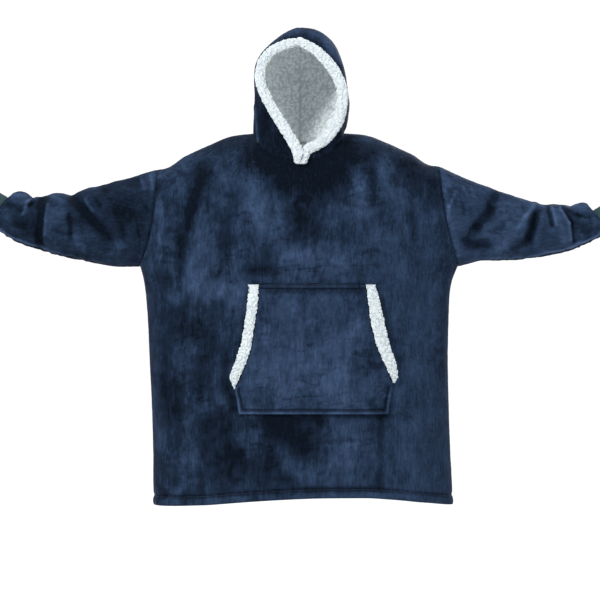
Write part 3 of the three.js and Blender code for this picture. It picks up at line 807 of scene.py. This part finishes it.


# Painted shade of the fleece: dark between the curls and knots, pale on their tops
def fleece_tuft_shade(curls, knots):
    return 0.62 * curls + 0.38 * knots


def curly_lining(inner, normal, edges):
    """Modelled curls on the hood's lining, which laps over the neck seam, with painted shade that
    is dark between the curls.
    """
    curls, knots = tufts(inner + 2 * noise(inner, 8, 4)[..., None], 8, 3), tufts(inner, 3.6, 4)
    high = (3.0 * curls + 1.1 * knots) * smooth(np.minimum.reduce(edges), 0, 4)
    lap = 1.6 * normal + np.array([0, 0, 5.0])
    inner = inner - normal * high[..., None] - (1 - smooth(edges[2], 0, 8)[..., None]) * lap
    return inner, fleece_tuft_shade(curls, knots)


def make_cloth(name, form, looks, wraps=False, fine=False, keep=None):
    """One cut piece of cloth. form is its point function, its places along columns and rows, and
    its centre. looks is its relief, its nap with painted light and shade, worked out from its
    points and edges, and its materials. keep holds the finished points on their own side of a
    seam's plane."""
    point, (columns, rows), centre = form
    relief, nap_and_shade, materials = looks
    if wraps:
        columns = columns[:-1]
    base, base_in = (point(columns[None, :], rows[:, None], inset) for inset in (0, WALL))
    normal, sign = normals_of(base, wraps, centre)
    edges = edge_distances(base)
    rise = relief(base, edges)
    pile = 0.3 * noise(base, 7, 1) + 0.18 * noise(base, 3.5, 2)
    outer = base + normal * (rise + pile)[..., None]
    skip = 1 if fine else 2
    hidden = rise if fine else lowest_near(rise, wraps)
    inner = (base_in + normal * hidden[..., None])[::skip, ::skip]
    # painted shade on the lining, dark between its tufts
    lining_shade = 0.3 + 0.5 * tufts(inner, 9, 3)
    if fine:
        inner, lining_shade = curly_lining(inner, normal, edges)
    if keep is not None:
        outer, inner = keep(outer), keep(inner)
    free = np.minimum.reduce(edges[2:] if wraps else edges)[::skip, ::skip]
    # painted shade at the lining's free edges, where the pieces meet at the seams
    lining_shade *= 0.5 + 0.5 * smooth(free, 0, 5)
    values = np.concatenate([nap_and_shade(base, edges).reshape(-1), lining_shade.reshape(-1)])
    return build_wall(name, outer, inner, skip, wraps, sign, materials, values), outer


def make_roll(name, point, around, along, tuft_size, tuft_high, keep=None):
    """A roll of fleece with curly tufts, closed at both ends, with painted shade that is dark
    between the tufts.
    """
    angle = 2 * math.pi * (np.arange(around) + 0.5) / around
    angle, up = np.meshgrid(angle, np.linspace(0, 1, along))
    base = point(angle, up)
    normal, sign = normals_of(base, True, base.mean(axis=1, keepdims=True))
    warped = base + 2.4 * stack(*(noise(base, 7, seed) for seed in (5, 6, 7)))
    curls, knots = tufts(warped, tuft_size, 8), tufts(warped, 3.4, 9)
    high = tuft_high * (curls - 1.3) + 1.0 * knots + 0.8 * blobs(base, 14, 10)
    outer = base + normal * (high * smooth(np.minimum(up, 1 - up), 0, 0.02))[..., None]
    if keep is not None:
        outer = keep(outer, base)
    index = grid_index(outer, True)
    faces = grid_faces(index).tolist() + [index[0, -2::-1].tolist(), index[-1, :-1].tolist()]
    if sign < 0:
        faces = [face[::-1] for face in faces]
    nap_and_shade = fleece_tuft_shade(curls, knots).reshape(-1)
    return new_mesh(name, outer.reshape(-1, 3), faces, [0] * len(faces), [FLEECE], nap_and_shade)


def beside(axis, plane, sign, points):
    """Holds finished points on their own side of a seam's plane, and closes hair gaps."""
    away = sign * (points[..., axis] - plane)
    points[..., axis] = plane + sign * np.where(away < CLOSED, SEAM / 2, away)
    return points


def meet(side, points, base):
    """Holds a trim's finished points on their own side of the line where the halves meet."""
    held = np.abs(base[..., 0] - meeting_x(base[..., 2])) < CLOSED
    points[..., 0] = np.where(held, base[..., 0], own_side(side, points))
    return points


# Relief of the cloth. edges is how far each point lies from the first and last column and the
# lowest and highest row. Heights and distances are in mm.

HEM_STITCH = 22
POCKET_STITCH = 9.5
POCKET_TOP_STITCHES = (4, 13)
POCKET_PUFF = 3.4
UNDER_FOLD = 28  # a fold with a painted highlight runs along each sleeve, this far round from its underside

# Sewn lines of the pocket: at its top or not, distance from the edge, half width, rise, painted
# shade (dark in the stitched troughs, light on the puffs beside them)
POCKET_SEAMS = (
    (False, POCKET_STITCH, 3.4, -2.6, -0.4),
    (False, 3.5, 3, 1.2, 0.2),
    (True, POCKET_TOP_STITCHES[0], 2.6, -1.8, -0.4),
    (True, POCKET_TOP_STITCHES[1], 3, -1.8, -0.35),
    (True, 8.5, 3, 1.0, 0),
    (True, 8.5, 2.5, 0, 0.16),
)
SEAM_RISE, SEAM_SHADING = 3, 4  # their places in a row of this table


def seam_rise(distance, base, seed, high, wide=9.0):
    """Beside a sewn seam the thick cloth puffs up, with small puckers across it."""
    puckers = noise(base, 15, 20 + seed)
    puffed = high * smooth(distance, 0, wide) * (1 + 0.35 * puckers * np.exp(-distance / 14))
    return puffed + 0.4 * bell(distance, 0.9 * wide, 0.5 * wide) * smooth(distance, 0, 3)


def drape(x, z, seed):
    """Soft unevenness of the hanging cloth: its height at a place seen from front or back."""
    flat = stack(x, 0 * x, z)
    wide = 2.6 * noise(flat, (110, 1, 230), seed) + 1.4 * noise(flat, (46, 1, 95), seed + 1)
    small = 0.7 * noise(flat, (22, 1, 40), seed + 2)
    return (0.5 + 0.5 * smooth(-z, 60, 260)) * wide + small


def turned_edge(distance):
    return (1 - np.clip(distance / 4, 0, 1)) ** 2


def hem_relief(distance, base, seed):
    fold = 1.4 * bell(distance, 10, 8) - 2.6 * bell(distance, HEM_STITCH, 4.5)
    ripples = 0.9 * noise(base, (13, 13, 60), seed) * bell(distance, 18, 16)
    return fold + ripples - 1.3 * turned_edge(distance)


def panel_relief(face, base, edges):
    creases, seed = (FRONT_CREASES, 30) if face == "front" else (BACK_CREASES, 40)
    first, last, low, high = edges
    x, z = base[..., 0], base[..., 2]
    seam = np.minimum.reduce((first, last, high))
    total = smooth(seam, 0, 40) * (drape(x, z, seed) + lines(creases, x, z))
    total += seam_rise(seam, base, seed, 1.0)
    return total + hem_relief(low, base, seed + 5) * smooth(seam, 0, 6)


def sleeve_marks(side, value, base):
    """The marks on the front of a sleeve, and fainter ones like them on its hidden back: their
    relief, or their nap with painted shade in the troughs and painted highlights on the ridges.
    """
    table = [(*mark[:5], mark[value]) for mark in SLEEVE_MARKS[side]]
    x, y, z = np.moveaxis(base, -1, 0)
    return mix(0.8 * lines(table, x - 26, z + 12), lines(table, x, z), smooth(-y, -20, 20))


def under_reach(base):
    """How far each point lies round the sleeve from its underside."""
    around = np.arange(base.shape[1]) / base.shape[1]
    step = np.linalg.norm(base - np.roll(base, 1, axis=1), axis=-1).sum(axis=1, keepdims=True)
    return np.minimum(around, 1 - around) * step


def sleeve_relief(side, base, edges):
    seed = 50 if side == "right" else 60
    low, high = edges[2:]
    axis_z = base.mean(axis=1, keepdims=True)[..., 2]
    under = smooth(axis_z - base[..., 2], -20, 50)
    ridges = 1 - np.abs(blobs(base / (0.5, 1, 1), 38, seed + 2)) * 2.4
    total = 1.8 * blobs(base, 90, seed) + 1.0 * blobs(base, 34, seed + 1)
    total += (0.5 + 1.4 * under) * np.clip(ridges, -0.4, 1) * smooth(low, 40, 160)
    gathers = noise(base, (60, 14, 14), seed + 3) + 0.6 * noise(base, (40, 8, 8), seed + 4)
    total += 3.4 * gathers * bell(high, 16, 24) + sleeve_marks(side, MARK_RISE, base)
    total += 1.8 * bell(under_reach(base), UNDER_FOLD, 5) * smooth(low, 60, 160)
    total = total * smooth(low, 0, 35) * smooth(high, 0, 14) + seam_rise(low, base, seed, 1.0)
    return total + seam_rise(high, base, seed + 1, 2.0, 5.0) - 2.0


def hood_relief(side, base, edges):
    seed = 70 if side == "right" else 80
    first, last, low, high = edges
    seam = np.minimum.reduce((last, high, low))
    total = 1.6 * blobs(base, 64, seed) + 0.9 * blobs(base, 26, seed + 1)
    total += 2.4 * noise(base, (20, 22, 90), seed + 2) * bell(low, 26, 30)
    total *= smooth(first, 0, 22) * smooth(seam, 0, 22)
    total += lines(HOOD_CREASES, base[..., 0], base[..., 2]) * smooth(-base[..., 1], -60, 0)
    return total + seam_rise(seam, base, seed, 0.5, 5.0) * smooth(first, 0, 10)


def pocket_rise(x, z):
    """The pocket and its trims lie on the panel's relief, a little raised."""
    return POCKET_PUFF + drape(x, z, 30) + lines(FRONT_CREASES, x, z)


def pocket_sewn(base, edges):
    """Distance from the pocket's sewn edge: its foot, and its sides below the mouth."""
    first, last, low, _ = edges
    side = np.where(base[..., 2] < POCKET_SIDE_SEAM, np.minimum(first, last), np.inf)
    return np.minimum(low, side)


def pocket_seams(base, edges, value):
    sewn, high = pocket_sewn(base, edges), edges[3]
    return sum(row[value] * bell(high if row[0] else sewn, *row[1:3]) for row in POCKET_SEAMS)


def pocket_relief(base, edges):
    total = pocket_rise(base[..., 0], base[..., 2]) + pocket_seams(base, edges, SEAM_RISE)
    near = np.minimum(pocket_sewn(base, edges), edges[3])
    total += 0.9 * noise(base, (13, 30, 22), 90) * bell(near, 14, 14)
    inner = smooth(np.minimum.reduce(edges), 6, 40)
    return total + inner * (1.2 * blobs(base, 56, 91) + 0.5 * blobs(base, 22, 92))


def cuff_relief(base, edges):
    low, high = edges[2:]
    return -1.2 * turned_edge(high) - 1.0 * bell(low, 0, 4)


# Nap and painted light: brushed one way the pile is light, brushed the other way it is dark, and
# shade and highlights are painted into its folds, seams and edges (0 dark, 1 light)

# Front: brushed patches as a line, half width and change of nap; many rows are painted light and
# shade in the folds and around the pocket
FRONT_NAP_AND_SHADE = (
    # painted shade in the trough of the fold on the left
    (-233, -100, -262, -180, 16, -0.44),
    (-262, -180, -286, -260, 13, -0.36),
    (-286, -260, -292, -370, 9, -0.26),
    (-330, -120, -300, -210, 34, -0.08),
    (-190, -765, -50, -785, 38, -0.10),
    (-240, -470, -240, -840, 90, -0.13),
    (-70, -700, 30, -706, 32, -0.24),
    (250, -330, 270, -820, 90, 0.06),
    (-30, -292, -10, -296, 14, 0.12),
    (-75, -62, 100, -62, 42, -0.40),
    (-40, -112, 70, -112, 36, -0.34),
    (10, -150, 0, -195, 30, -0.20),
    (0, -200, 15, -240, 30, -0.12),
    (-180, -20, -105, -60, 38, -0.22),
    (92, -30, 150, -50, 34, -0.20),
    (-134, -112, -93, -220, 26, 0.18),
    (-193, -249, -181, -304, 16, -0.22),
    (-116, -326, -58, -331, 14, -0.26),
    # painted highlight on the ridge at the left side
    (-334, -165, -336, -300, 8, 0.18),
    (-328, -349, -328, -654, 26, -0.14),
    (-287, -443, -216, -502, 26, -0.20),
    (-334, -584, -298, -654, 20, -0.20),
    (-269, -549, -263, -520, 22, 0.16),
    # painted shadow beside the end of the pocket's trim
    (-172, -600, -160, -650, 12, -0.30),
    (-193, -690, -146, -807, 40, -0.24),
    (-263, -725, -263, -770, 22, 0.14),
    (-128, -731, -126, -740, 20, 0.12),
    (-241, -361, -158, -384, 30, 0.22),
    (-17, -290, 101, -302, 34, 0.16),
    # painted shadow under the pocket
    (-81, -672, 36, -672, 18, -0.40),
    (-52, -690, 7, -748, 26, -0.36),
    (-87, -701, -87, -819, 30, -0.14),
    # painted shade in a fold's trough
    (186, -655, 181, -842, 9, -0.20),
    (89, -701, 89, -807, 50, 0.14),
    (-17, -842, 183, -842, 9, -0.16),
    (130, -90, 150, -190, 22, 0.14),
    (195, -67, 197, -150, 14, 0.12),
    (166, -100, 171, -160, 8, -0.16),
    (242, -70, 325, -150, 28, -0.18),
    (259, -196, 265, -250, 9, -0.20),
    # painted shadow under the pocket
    (89, -667, 198, -669, 8, -0.24),
)

# Pocket: brushed patches, and painted shade under its top edge
POCKET_NAP_AND_SHADE = (
    (83, -467, 83, -631, 40, 0.12),
    (-40, -408, -17, -607, 34, 0.05),
    # painted shade under the pocket's top seam
    (-75, -375, 136, -375, 9, -0.20),
    (171, -549, 165, -500, 20, -0.12),
    (-116, -652, -50, -654, 9, 0.12),
)

# Hood: painted highlights along its creases (the first three rows, on the creases' lines) and
# lighter patches on the crown
HOOD_NAP_AND_HIGHLIGHTS = (
    (-112, 74, -105, -16, 3.4, 0.46),
    (70, -10, 91, 15, 3.4, 0.5),
    (87, -20, 102, 0, 3.4, 0.5),
    (60, 222, 92, 176, 11, 0.30),
    (20, 246, 56, 232, 8, 0.16),
    (-60, 236, -20, 252, 10, 0.14),
    (104, 60, 106, 120, 7, 0.16),
)


def streaks(base, along, seed):
    """Unevenness of the brushed pile, drawn out along one axis (0 for x, 2 for z)."""
    drawn = np.ones(3)
    drawn[along] = 0.17
    bent = base + 5.0 * stack(*(noise(base, 30, seed + k) for k in (0.1, 0.2, 0.3)))
    mottle = 0.13 * blobs(bent, 70, seed) + 0.12 * blobs(bent, 30, seed + 1)
    mottle += 0.09 * blobs(bent, 13, seed + 2)
    fine = 0.07 * blobs(bent * drawn, 5.5, seed + 3) + 0.12 * blobs(bent * drawn, 14, seed + 4)
    crossing = 1 - np.abs(blobs(bent * drawn[::-1], 15, seed + 5)) * 7
    few = smooth(blobs(bent, 46, seed + 6), 0.0, 0.4)
    return fine + mottle - 0.20 * few * np.clip(crossing, 0, 1)


def seam_light(distance):
    """The puffed edge beside a seam catches the light, and the seam itself is dark."""
    return 0.08 * bell(distance, 9, 6) - 0.10 * bell(distance, 0, 3)


def panel_nap_and_shade(face, base, edges):
    first, last, low, high = edges
    side = np.minimum(first, last)
    x, z = base[..., 0], base[..., 2]
    if face == "front":
        smoother = smooth(x, 40, 260) * smooth(-z, 120, 300)
        total = mix(1, 0.55, smoother) * streaks(base, 2, 100) + lines(FRONT_NAP_AND_SHADE, x, z)
    else:
        total = streaks(base, 2, 110) + 0.2 * noise(base, (90, 90, 160), 117)
    # Painted shade towards the shoulder seam and the sides, painted shade in the hem's stitched
    # trough and a painted highlight on the hem's fold
    total += seam_light(side) - 0.16 * np.exp(-high / 34) - 0.1 * np.exp(-side / 30)
    return 0.41 + total - 0.25 * bell(low, HEM_STITCH, 4) + 0.08 * bell(low, 9, 8)


def sleeve_nap_and_shade(side, base, edges):
    low, high = edges[2:]
    total, seed = (0.33, 120) if side == "right" else (0.48, 130)
    total += 0.8 * streaks(base, 0, seed) + seam_light(low) + sleeve_marks(side, MARK_NAP_AND_SHADE, base)
    under = under_reach(base)
    # Painted highlight along the fold near the underside, painted shade on the underside itself and
    # at the cuff seam
    fold_highlight = bell(under, UNDER_FOLD, 4) * (0.4 + 0.6 * smooth(low, 180, 300))
    total += 0.6 * fold_highlight * smooth(low, 60, 160) - 0.3 * (1 - smooth(under, 14, 22))
    return total - 0.2 * bell(high, 0, 6)


def hood_nap_and_shade(side, base, edges):
    first, last, low, _ = edges
    x, y, z = np.moveaxis(base, -1, 0)
    # Darker towards the bottom of the hood's front
    if side == "right":
        dark, seed = 0.28 * smooth(150 - z, 0, 110), 140
    else:
        dark, seed = 0.26 * smooth(60 - z, 0, 70), 150
    total = 0.34 - dark * smooth(-y, -40, 0) + 0.8 * streaks(base, 2, seed)
    total += lines(HOOD_NAP_AND_HIGHLIGHTS, x, z) * smooth(-y, -60, 0) + seam_light(last)
    # Painted shade at the neck seam and beside the trim along the opening
    return total - 0.08 * bell(low, 0, 4) - 0.22 * bell(first, 0, 12)


def pocket_nap_and_shade(base, edges):
    # Brushed tone with painted shade in the stitched troughs and under the top seam, and painted
    # highlights on the puffs
    total = 0.50 + 0.85 * streaks(base, 2, 160) + lines(POCKET_NAP_AND_SHADE, base[..., 0], base[..., 2])
    return total + pocket_seams(base, edges, SEAM_SHADING)


def plain_nap(base, edges):
    return np.full(base.shape[:-1], 0.5)


# Materials


def set_sockets(tree, node, sockets):
    """Sets a node's sockets to constants, or wires them to other nodes' outputs."""
    for name, value in sockets.items():
        if isinstance(value, bpy.types.NodeSocket):
            tree.links.new(value, node.inputs[name])
        else:
            node.inputs[name].default_value = value
    return node


def start_material(name):
    material = bpy.data.materials.new(name)
    material.use_nodes = True
    tree = material.node_tree
    return material, tree, tree.nodes["Principled BSDF"]


def add_node(tree, kind, sockets):
    return set_sockets(tree, tree.nodes.new("ShaderNode" + kind), sockets)


def math_node(tree, operation, *values):
    node = add_node(tree, "Math", dict(enumerate(values)))
    node.operation = operation
    return node.outputs[0]


def noise_node(tree, vector, scale, detail=3.0, roughness=0.6):
    sockets = {"Vector": vector, "Scale": scale, "Detail": detail, "Roughness": roughness}
    return add_node(tree, "TexNoise", sockets).outputs["Fac"]


def stretched(tree, scale):
    place = add_node(tree, "TexCoord", {}).outputs["Object"]
    return add_node(tree, "Mapping", {"Vector": place, "Scale": scale}).outputs["Vector"]


def bump_node(tree, height, strength, distance, **below):
    sockets = {"Height": height, "Strength": strength, "Distance": distance, **below}
    return add_node(tree, "Bump", sockets).outputs["Normal"]


def ramp_node(tree, value, stops):
    node = add_node(tree, "ValToRGB", {"Fac": value})
    ramp = node.color_ramp
    while len(ramp.elements) < len(stops):
        ramp.elements.new(0.5)
    for element, (place, colour) in zip(ramp.elements, stops):
        element.position = place
        element.color = (*colour, 1)
    return node.outputs["Color"]


# The nap attribute: the plush's brushed tone with painted shade and highlights, and the fleece's
# painted shade between its tufts
def nap_and_shade_value(tree):
    node = add_node(tree, "Attribute", {})
    node.attribute_name = "nap_and_shade"
    return node.outputs["Fac"]


PLUSH_STOPS = (
    (0.0, (0.0011, 0.0025, 0.0053)),
    (0.3, (0.0044, 0.0089, 0.0190)),
    (0.55, (0.0114, 0.0216, 0.0440)),
    (1.0, (0.0312, 0.0528, 0.1020)),
)


def plush_material(name, stretch, streak_depth):
    material, tree, shader = start_material(name)
    drawn, plain = stretched(tree, stretch), stretched(tree, (1, 1, 1))
    streak = math_node(tree, "SUBTRACT", noise_node(tree, drawn, 260), 0.5)
    grain = math_node(tree, "SUBTRACT", noise_node(tree, plain, 140), 0.5)
    value = math_node(tree, "MULTIPLY_ADD", streak, streak_depth, nap_and_shade_value(tree))
    value = math_node(tree, "MULTIPLY_ADD", grain, 0.3, value)
    clumps = bump_node(tree, noise_node(tree, plain, 330), 0.35, 0.0012)
    fibres = noise_node(tree, drawn, 900, 2.0, 0.7)
    looks = {
        "Base Color": ramp_node(tree, value, PLUSH_STOPS),
        "Normal": bump_node(tree, fibres, 0.25, 0.0006, Normal=clumps),
        "Roughness": 0.85,
        "Specular IOR Level": 0.02,
        "Sheen Weight": 0.025,
        "Sheen Roughness": 0.4,
        "Sheen Tint": (0.30, 0.42, 0.75, 1),
    }
    set_sockets(tree, shader, looks)
    return material


def fleece_material(name, pale, shade):
    material, tree, shader = start_material(name)
    place = stretched(tree, (1, 1, 1))
    # Painted shade: the ramp darkens the fleece between its curls, from the tuft heights in the
    # attribute and from the Voronoi cells
    curls = add_node(tree, "TexVoronoi", {"Vector": place, "Scale": 320}).outputs["Distance"]
    value = math_node(tree, "MULTIPLY_ADD", curls, 0.8, noise_node(tree, place, 90))
    value = math_node(tree, "MULTIPLY_ADD", value, -0.35, nap_and_shade_value(tree))
    knots = bump_node(tree, curls, 0.5, -0.0012)
    fibres = noise_node(tree, place, 1400, 3.0, 0.7)
    looks = {
        "Base Color": ramp_node(tree, value, ((0.0, shade), (0.5, pale))),
        "Normal": bump_node(tree, fibres, 0.4, 0.0006, Normal=knots),
        "Roughness": 0.95,
        "Specular IOR Level": 0.15,
        "Sheen Weight": 0.06,
        "Sheen Roughness": 0.5,
    }
    set_sockets(tree, shader, looks)
    return material


def yarn_material(name, scale, dark, light, looks, fibres=None):
    """Knit or thread: a fine speckle between two colours, and fibres as bump."""
    material, tree, shader = start_material(name)
    place = stretched(tree, (1, 1, 1))
    speckle = ramp_node(tree, noise_node(tree, place, scale), ((0.2, dark), (0.8, light)))
    set_sockets(tree, shader, {"Base Color": speckle, **looks})
    if fibres is not None:
        normal = bump_node(tree, noise_node(tree, place, fibres), 0.5, 0.0007)
        tree.links.new(normal, shader.inputs["Normal"])
    return material


RIB_LOOKS = {"Roughness": 0.9, "Specular IOR Level": 0.03, "Sheen Weight": 0.02}
THREAD_LOOKS = {"Roughness": 0.6, "Specular IOR Level": 0.3}

PLUSH = plush_material("plush_upright", (1, 1, 0.16), 0.5)
PLUSH_SLEEVE = plush_material("plush_along_sleeve", (0.3, 1, 1), 0.4)
FLEECE = fleece_material("fleece_trim", (0.37, 0.40, 0.41), (0.275, 0.315, 0.335))
LINING = fleece_material("fleece_lining", (0.74, 0.79, 0.80), (0.46, 0.51, 0.53))
RIB = yarn_material(
    "rib_knit", 420, (0.010, 0.020, 0.022), (0.025, 0.046, 0.050), RIB_LOOKS, fibres=1100
)
THREAD = yarn_material("thread", 700, (0.008, 0.014, 0.034), (0.017, 0.030, 0.066), THREAD_LOOKS)

# Pieces

CENTRE = np.array([0.0, 0.0, -450.0])
ENDS = slice(3, -3)  # sewing stops this many columns before a seam


def along(line, run, at):
    """Place on a line of points at a distance along it."""
    return np.array([np.interp(at, run, line[:, k]) for k in range(3)])


def stitches(name, runs, length=3.6, gap=2.4, radius=0.45, corners=6):
    """Short threads laid along lines on the cloth. Each run holds points and outward normals."""
    ring = np.linspace(0, 2 * math.pi, corners, endpoint=False)
    shape = ((-0.5, 0.25), (-0.28, 1.0), (0.28, 1.0), (0.5, 0.25))
    points, faces = [], []
    for line, away in runs:
        steps = np.linalg.norm(np.diff(line, axis=0), axis=1)
        run = np.concatenate([[0], np.cumsum(steps)])
        for start in np.arange(gap, run[-1] - length - gap, length + gap):
            ends = along(line, run, start), along(line, run, start + length)
            out = along(away, run, start + length / 2)
            out /= np.linalg.norm(out)
            reach = ends[1] - ends[0]
            aside = np.cross(reach / np.linalg.norm(reach), out)
            middle = (ends[0] + ends[1]) / 2 + out * radius * 0.3
            first = len(points)
            for at, share in shape:
                for angle in ring:
                    round_it = math.cos(angle) * out + math.sin(angle) * aside
                    points.append(middle + reach * at + radius * share * round_it)
            for k in range(len(shape) - 1):
                for j in range(corners):
                    a, b = first + corners * k + j, first + corners * k + (j + 1) % corners
                    faces.append([a, b, b + corners, a + corners])
            faces.append([first + j for j in range(corners - 1, -1, -1)])
            faces.append([len(points) - corners + j for j in range(corners)])
    return new_mesh(name, np.array(points), faces, [0] * len(faces), [THREAD])


def sewing_line(outer, distance, from_low=True):
    """A line across a grid at a distance from its lowest or highest row, with its normals,
    and the number of the row nearest to it."""
    away = edge_distances(outer)[2 if from_low else 3]
    order = slice(None, None, 1 if from_low else -1)
    line = [
        [np.interp(distance, away[order, column], outer[order, column, k]) for k in range(3)]
        for column in range(outer.shape[1])
    ]
    row = np.abs(away.mean(axis=1) - distance).argmin()
    return np.array(line), normals_of(outer, False, CENTRE)[0][row], row


def dress(piece, nodes):
    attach(piece, BODY)
    if nodes:
        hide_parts(*nodes)


def make_panel(face, spacing):
    point = partial(panel_point, face)
    places = even(point, PANEL_COLUMNS, PANEL_ROWS, spacing, NECK_ENDS, (PANEL_LOWER,))
    looks = partial(panel_relief, face), partial(panel_nap_and_shade, face), [PLUSH, LINING]
    keep = partial(beside, 1, 0, -1 if face == "front" else 1)
    return make_cloth(face + "_cloth", (point, places, CENTRE), looks, keep=keep)


def make_sleeve(side):
    point = partial(sleeve_point, side)
    places = even(point, SLEEVE_AROUND, SLEEVE_STEPS, 2.8)
    centre = np.array([SLEEVE[side]["x"][4], 0.0, SLEEVE[side]["z"][4]])
    looks = partial(sleeve_relief, side), partial(sleeve_nap_and_shade, side), [PLUSH_SLEEVE, LINING]
    return make_cloth("sleeve_cloth_" + side, (point, places, centre), looks, wraps=True)[0]


def make_cuff(side):
    places = np.linspace(0, 1, CUFF_RIBS * 6 + 1), np.linspace(0, 1, 25)
    wrist_x, wrist_z = SLEEVE[side]["x"][-1], SLEEVE[side]["z"][-1]
    centre = np.array([wrist_x + SIGN[side] * 25, 0.0, wrist_z + 17])
    form, looks = (partial(cuff_point, side), places, centre), (cuff_relief, plain_nap, [RIB, RIB])
    return make_cloth("cuff_knit_" + side, form, looks, wraps=True)[0]


def make_hood_half(side):
    point = partial(hood_point, side)
    places = even(point, NECK_COLUMNS, HOOD_ROWS, 2.7)
    form = point, places, np.array([HOOD_SEAM_X, 30.0, 100.0])
    looks = partial(hood_relief, side), partial(hood_nap_and_shade, side), [PLUSH, LINING]
    keep = partial(beside, 0, HOOD_SEAM_X, SIGN[side])
    return make_cloth("hood_cloth_" + side, form, looks, fine=True, keep=keep)[0]


def make_hood_trim(side):
    point, keep = partial(trim_point, side), partial(meet, side)
    return make_roll("hood_fleece_" + side, point, 72, 440, 6.5, 2.6, keep)


def make_pocket():
    form = pocket_point, even(pocket_point, 1, 1, 2.6), CENTRE
    return make_cloth("pocket_cloth", form, (pocket_relief, pocket_nap_and_shade, [PLUSH, LINING]))


def make_pocket_trim(side):
    def point(angle, up):
        trim = pocket_trim_point(side, angle, up)
        trim[..., 1] -= pocket_rise(trim[..., 0], trim[..., 2])
        return trim

    return make_roll("pocket_fleece_" + side, point, 56, 330, 7.0, 3.0)


def make_hem_stitching(panels):
    runs = []
    for _, outer in panels.values():
        line, away, _ = sewing_line(outer, HEM_STITCH)
        runs.append((line[ENDS], away[ENDS]))
    return stitches("hem_stitching", runs)


def make_pocket_stitching(outer):
    runs = []
    for distance in POCKET_TOP_STITCHES:
        line, away, _ = sewing_line(outer, distance, from_low=False)
        runs.append((line[ENDS], away[ENDS]))
    line, away, row = sewing_line(outer, POCKET_STITCH)
    first, last = edge_distances(outer)[:2]
    kept = (first[row] > POCKET_STITCH) & (last[row] > POCKET_STITCH)
    runs.append((line[kept], away[kept]))
    return stitches("pocket_stitching", runs)


panels = {"front": make_panel("front", 3.6), "back": make_panel("back", 4.2)}
sleeves = {side: make_sleeve(side) for side in SIGN}
cuffs = {side: make_cuff(side) for side in SIGN}
hoods, hood_trims = {}, {}
for side in SIGN:
    hoods[side] = make_hood_half(side)
    hood_trims[side] = make_hood_trim(side)
pocket, pocket_outer = make_pocket()
pocket_trims = {side: make_pocket_trim(side) for side in SIGN}
hem_stitching = make_hem_stitching(panels)
pocket_stitching = make_pocket_stitching(pocket_outer)

dress(panels["front"][0], ["front_panel"])
dress(panels["back"][0], ["back_panel"])
dress(hem_stitching, [])
dress(pocket_stitching, [])
dress(pocket, ["pocket"])
for side in SIGN:
    dress(sleeves[side], ["sleeve_" + side])
    dress(cuffs[side], ["cuff_" + side])
    dress(hoods[side], ["hood_" + side])
    dress(hood_trims[side], ["hood_trim_" + side])
    dress(pocket_trims[side], ["pocket_trim_" + side])

# Stage, light and camera, in metres

PIXEL = 0.00243  # size of the photo's pixels at the garment's middle plane
PHOTO_PIXELS = 600
ORIGIN_PIXEL = (302, 137)
CAMERA_FAR = 4.5
FLOOR_HALF, FLOOR_Z = 60.0, -1.62
MIDDLE = (0, 0, -0.35)
LIGHTS = (
    ("key", (-2.4, -3.0, 2.2), MIDDLE, 1.3, 270),
    ("fill", (2.6, -3.2, 0.6), MIDDLE, 2.2, 50),
    ("top", (0.2, 0.6, 2.6), (0, 0, 0), 1.8, 80),
    ("behind", (1.6, 3.4, 1.2), MIDDLE, 1.8, 120),
)


def make_floor():
    mesh = bpy.data.meshes.new("floor")
    half = FLOOR_HALF
    flat = ((-half, -half), (half, -half), (half, half), (-half, half))
    mesh.from_pydata([(*place, FLOOR_Z) for place in flat], [], [(0, 1, 2, 3)])
    material, tree, shader = start_material("floor_paint")
    looks = {"Base Color": (0.97, 0.97, 0.97, 1), "Roughness": 0.9, "Specular IOR Level": 0.1}
    set_sockets(tree, shader, looks)
    mesh.materials.append(material)
    floor = bpy.data.objects.new("floor", mesh)
    bpy.context.scene.collection.objects.link(floor)


def make_world():
    world = bpy.data.worlds.new("studio")
    world.use_nodes = True
    background = world.node_tree.nodes["Background"]
    set_sockets(world.node_tree, background, {"Color": (1, 1, 1, 1), "Strength": 1.05})
    bpy.context.scene.world = world


def add_light(name, place, target, size, power):
    data = bpy.data.lights.new(name, "AREA")
    data.shape = "SQUARE"
    data.size = size
    data.energy = power
    light = bpy.data.objects.new(name, data)
    light.location = place
    x, y, z = np.array(place, float) - np.array(target, float)
    light.rotation_euler = (math.atan2(math.hypot(x, y), z), 0, math.atan2(x, -y))
    bpy.context.scene.collection.objects.link(light)


def make_camera():
    """Seen from straight in front, with the photo's frame at the garment's middle plane."""
    data = bpy.data.cameras.new("camera")
    data.sensor_width = 36
    data.lens = data.sensor_width * CAMERA_FAR / (PHOTO_PIXELS * PIXEL)
    camera = bpy.data.objects.new("camera", data)
    across, down = (PHOTO_PIXELS / 2 - place for place in ORIGIN_PIXEL)
    camera.location = (across * PIXEL, -CAMERA_FAR, -down * PIXEL)
    camera.rotation_euler = (QUARTER, 0, 0)
    bpy.context.scene.collection.objects.link(camera)
    bpy.context.scene.camera = camera


make_floor()
make_world()
for light in LIGHTS:
    add_light(*light)
make_camera()
bpy.context.scene.view_settings.view_transform = "Standard"
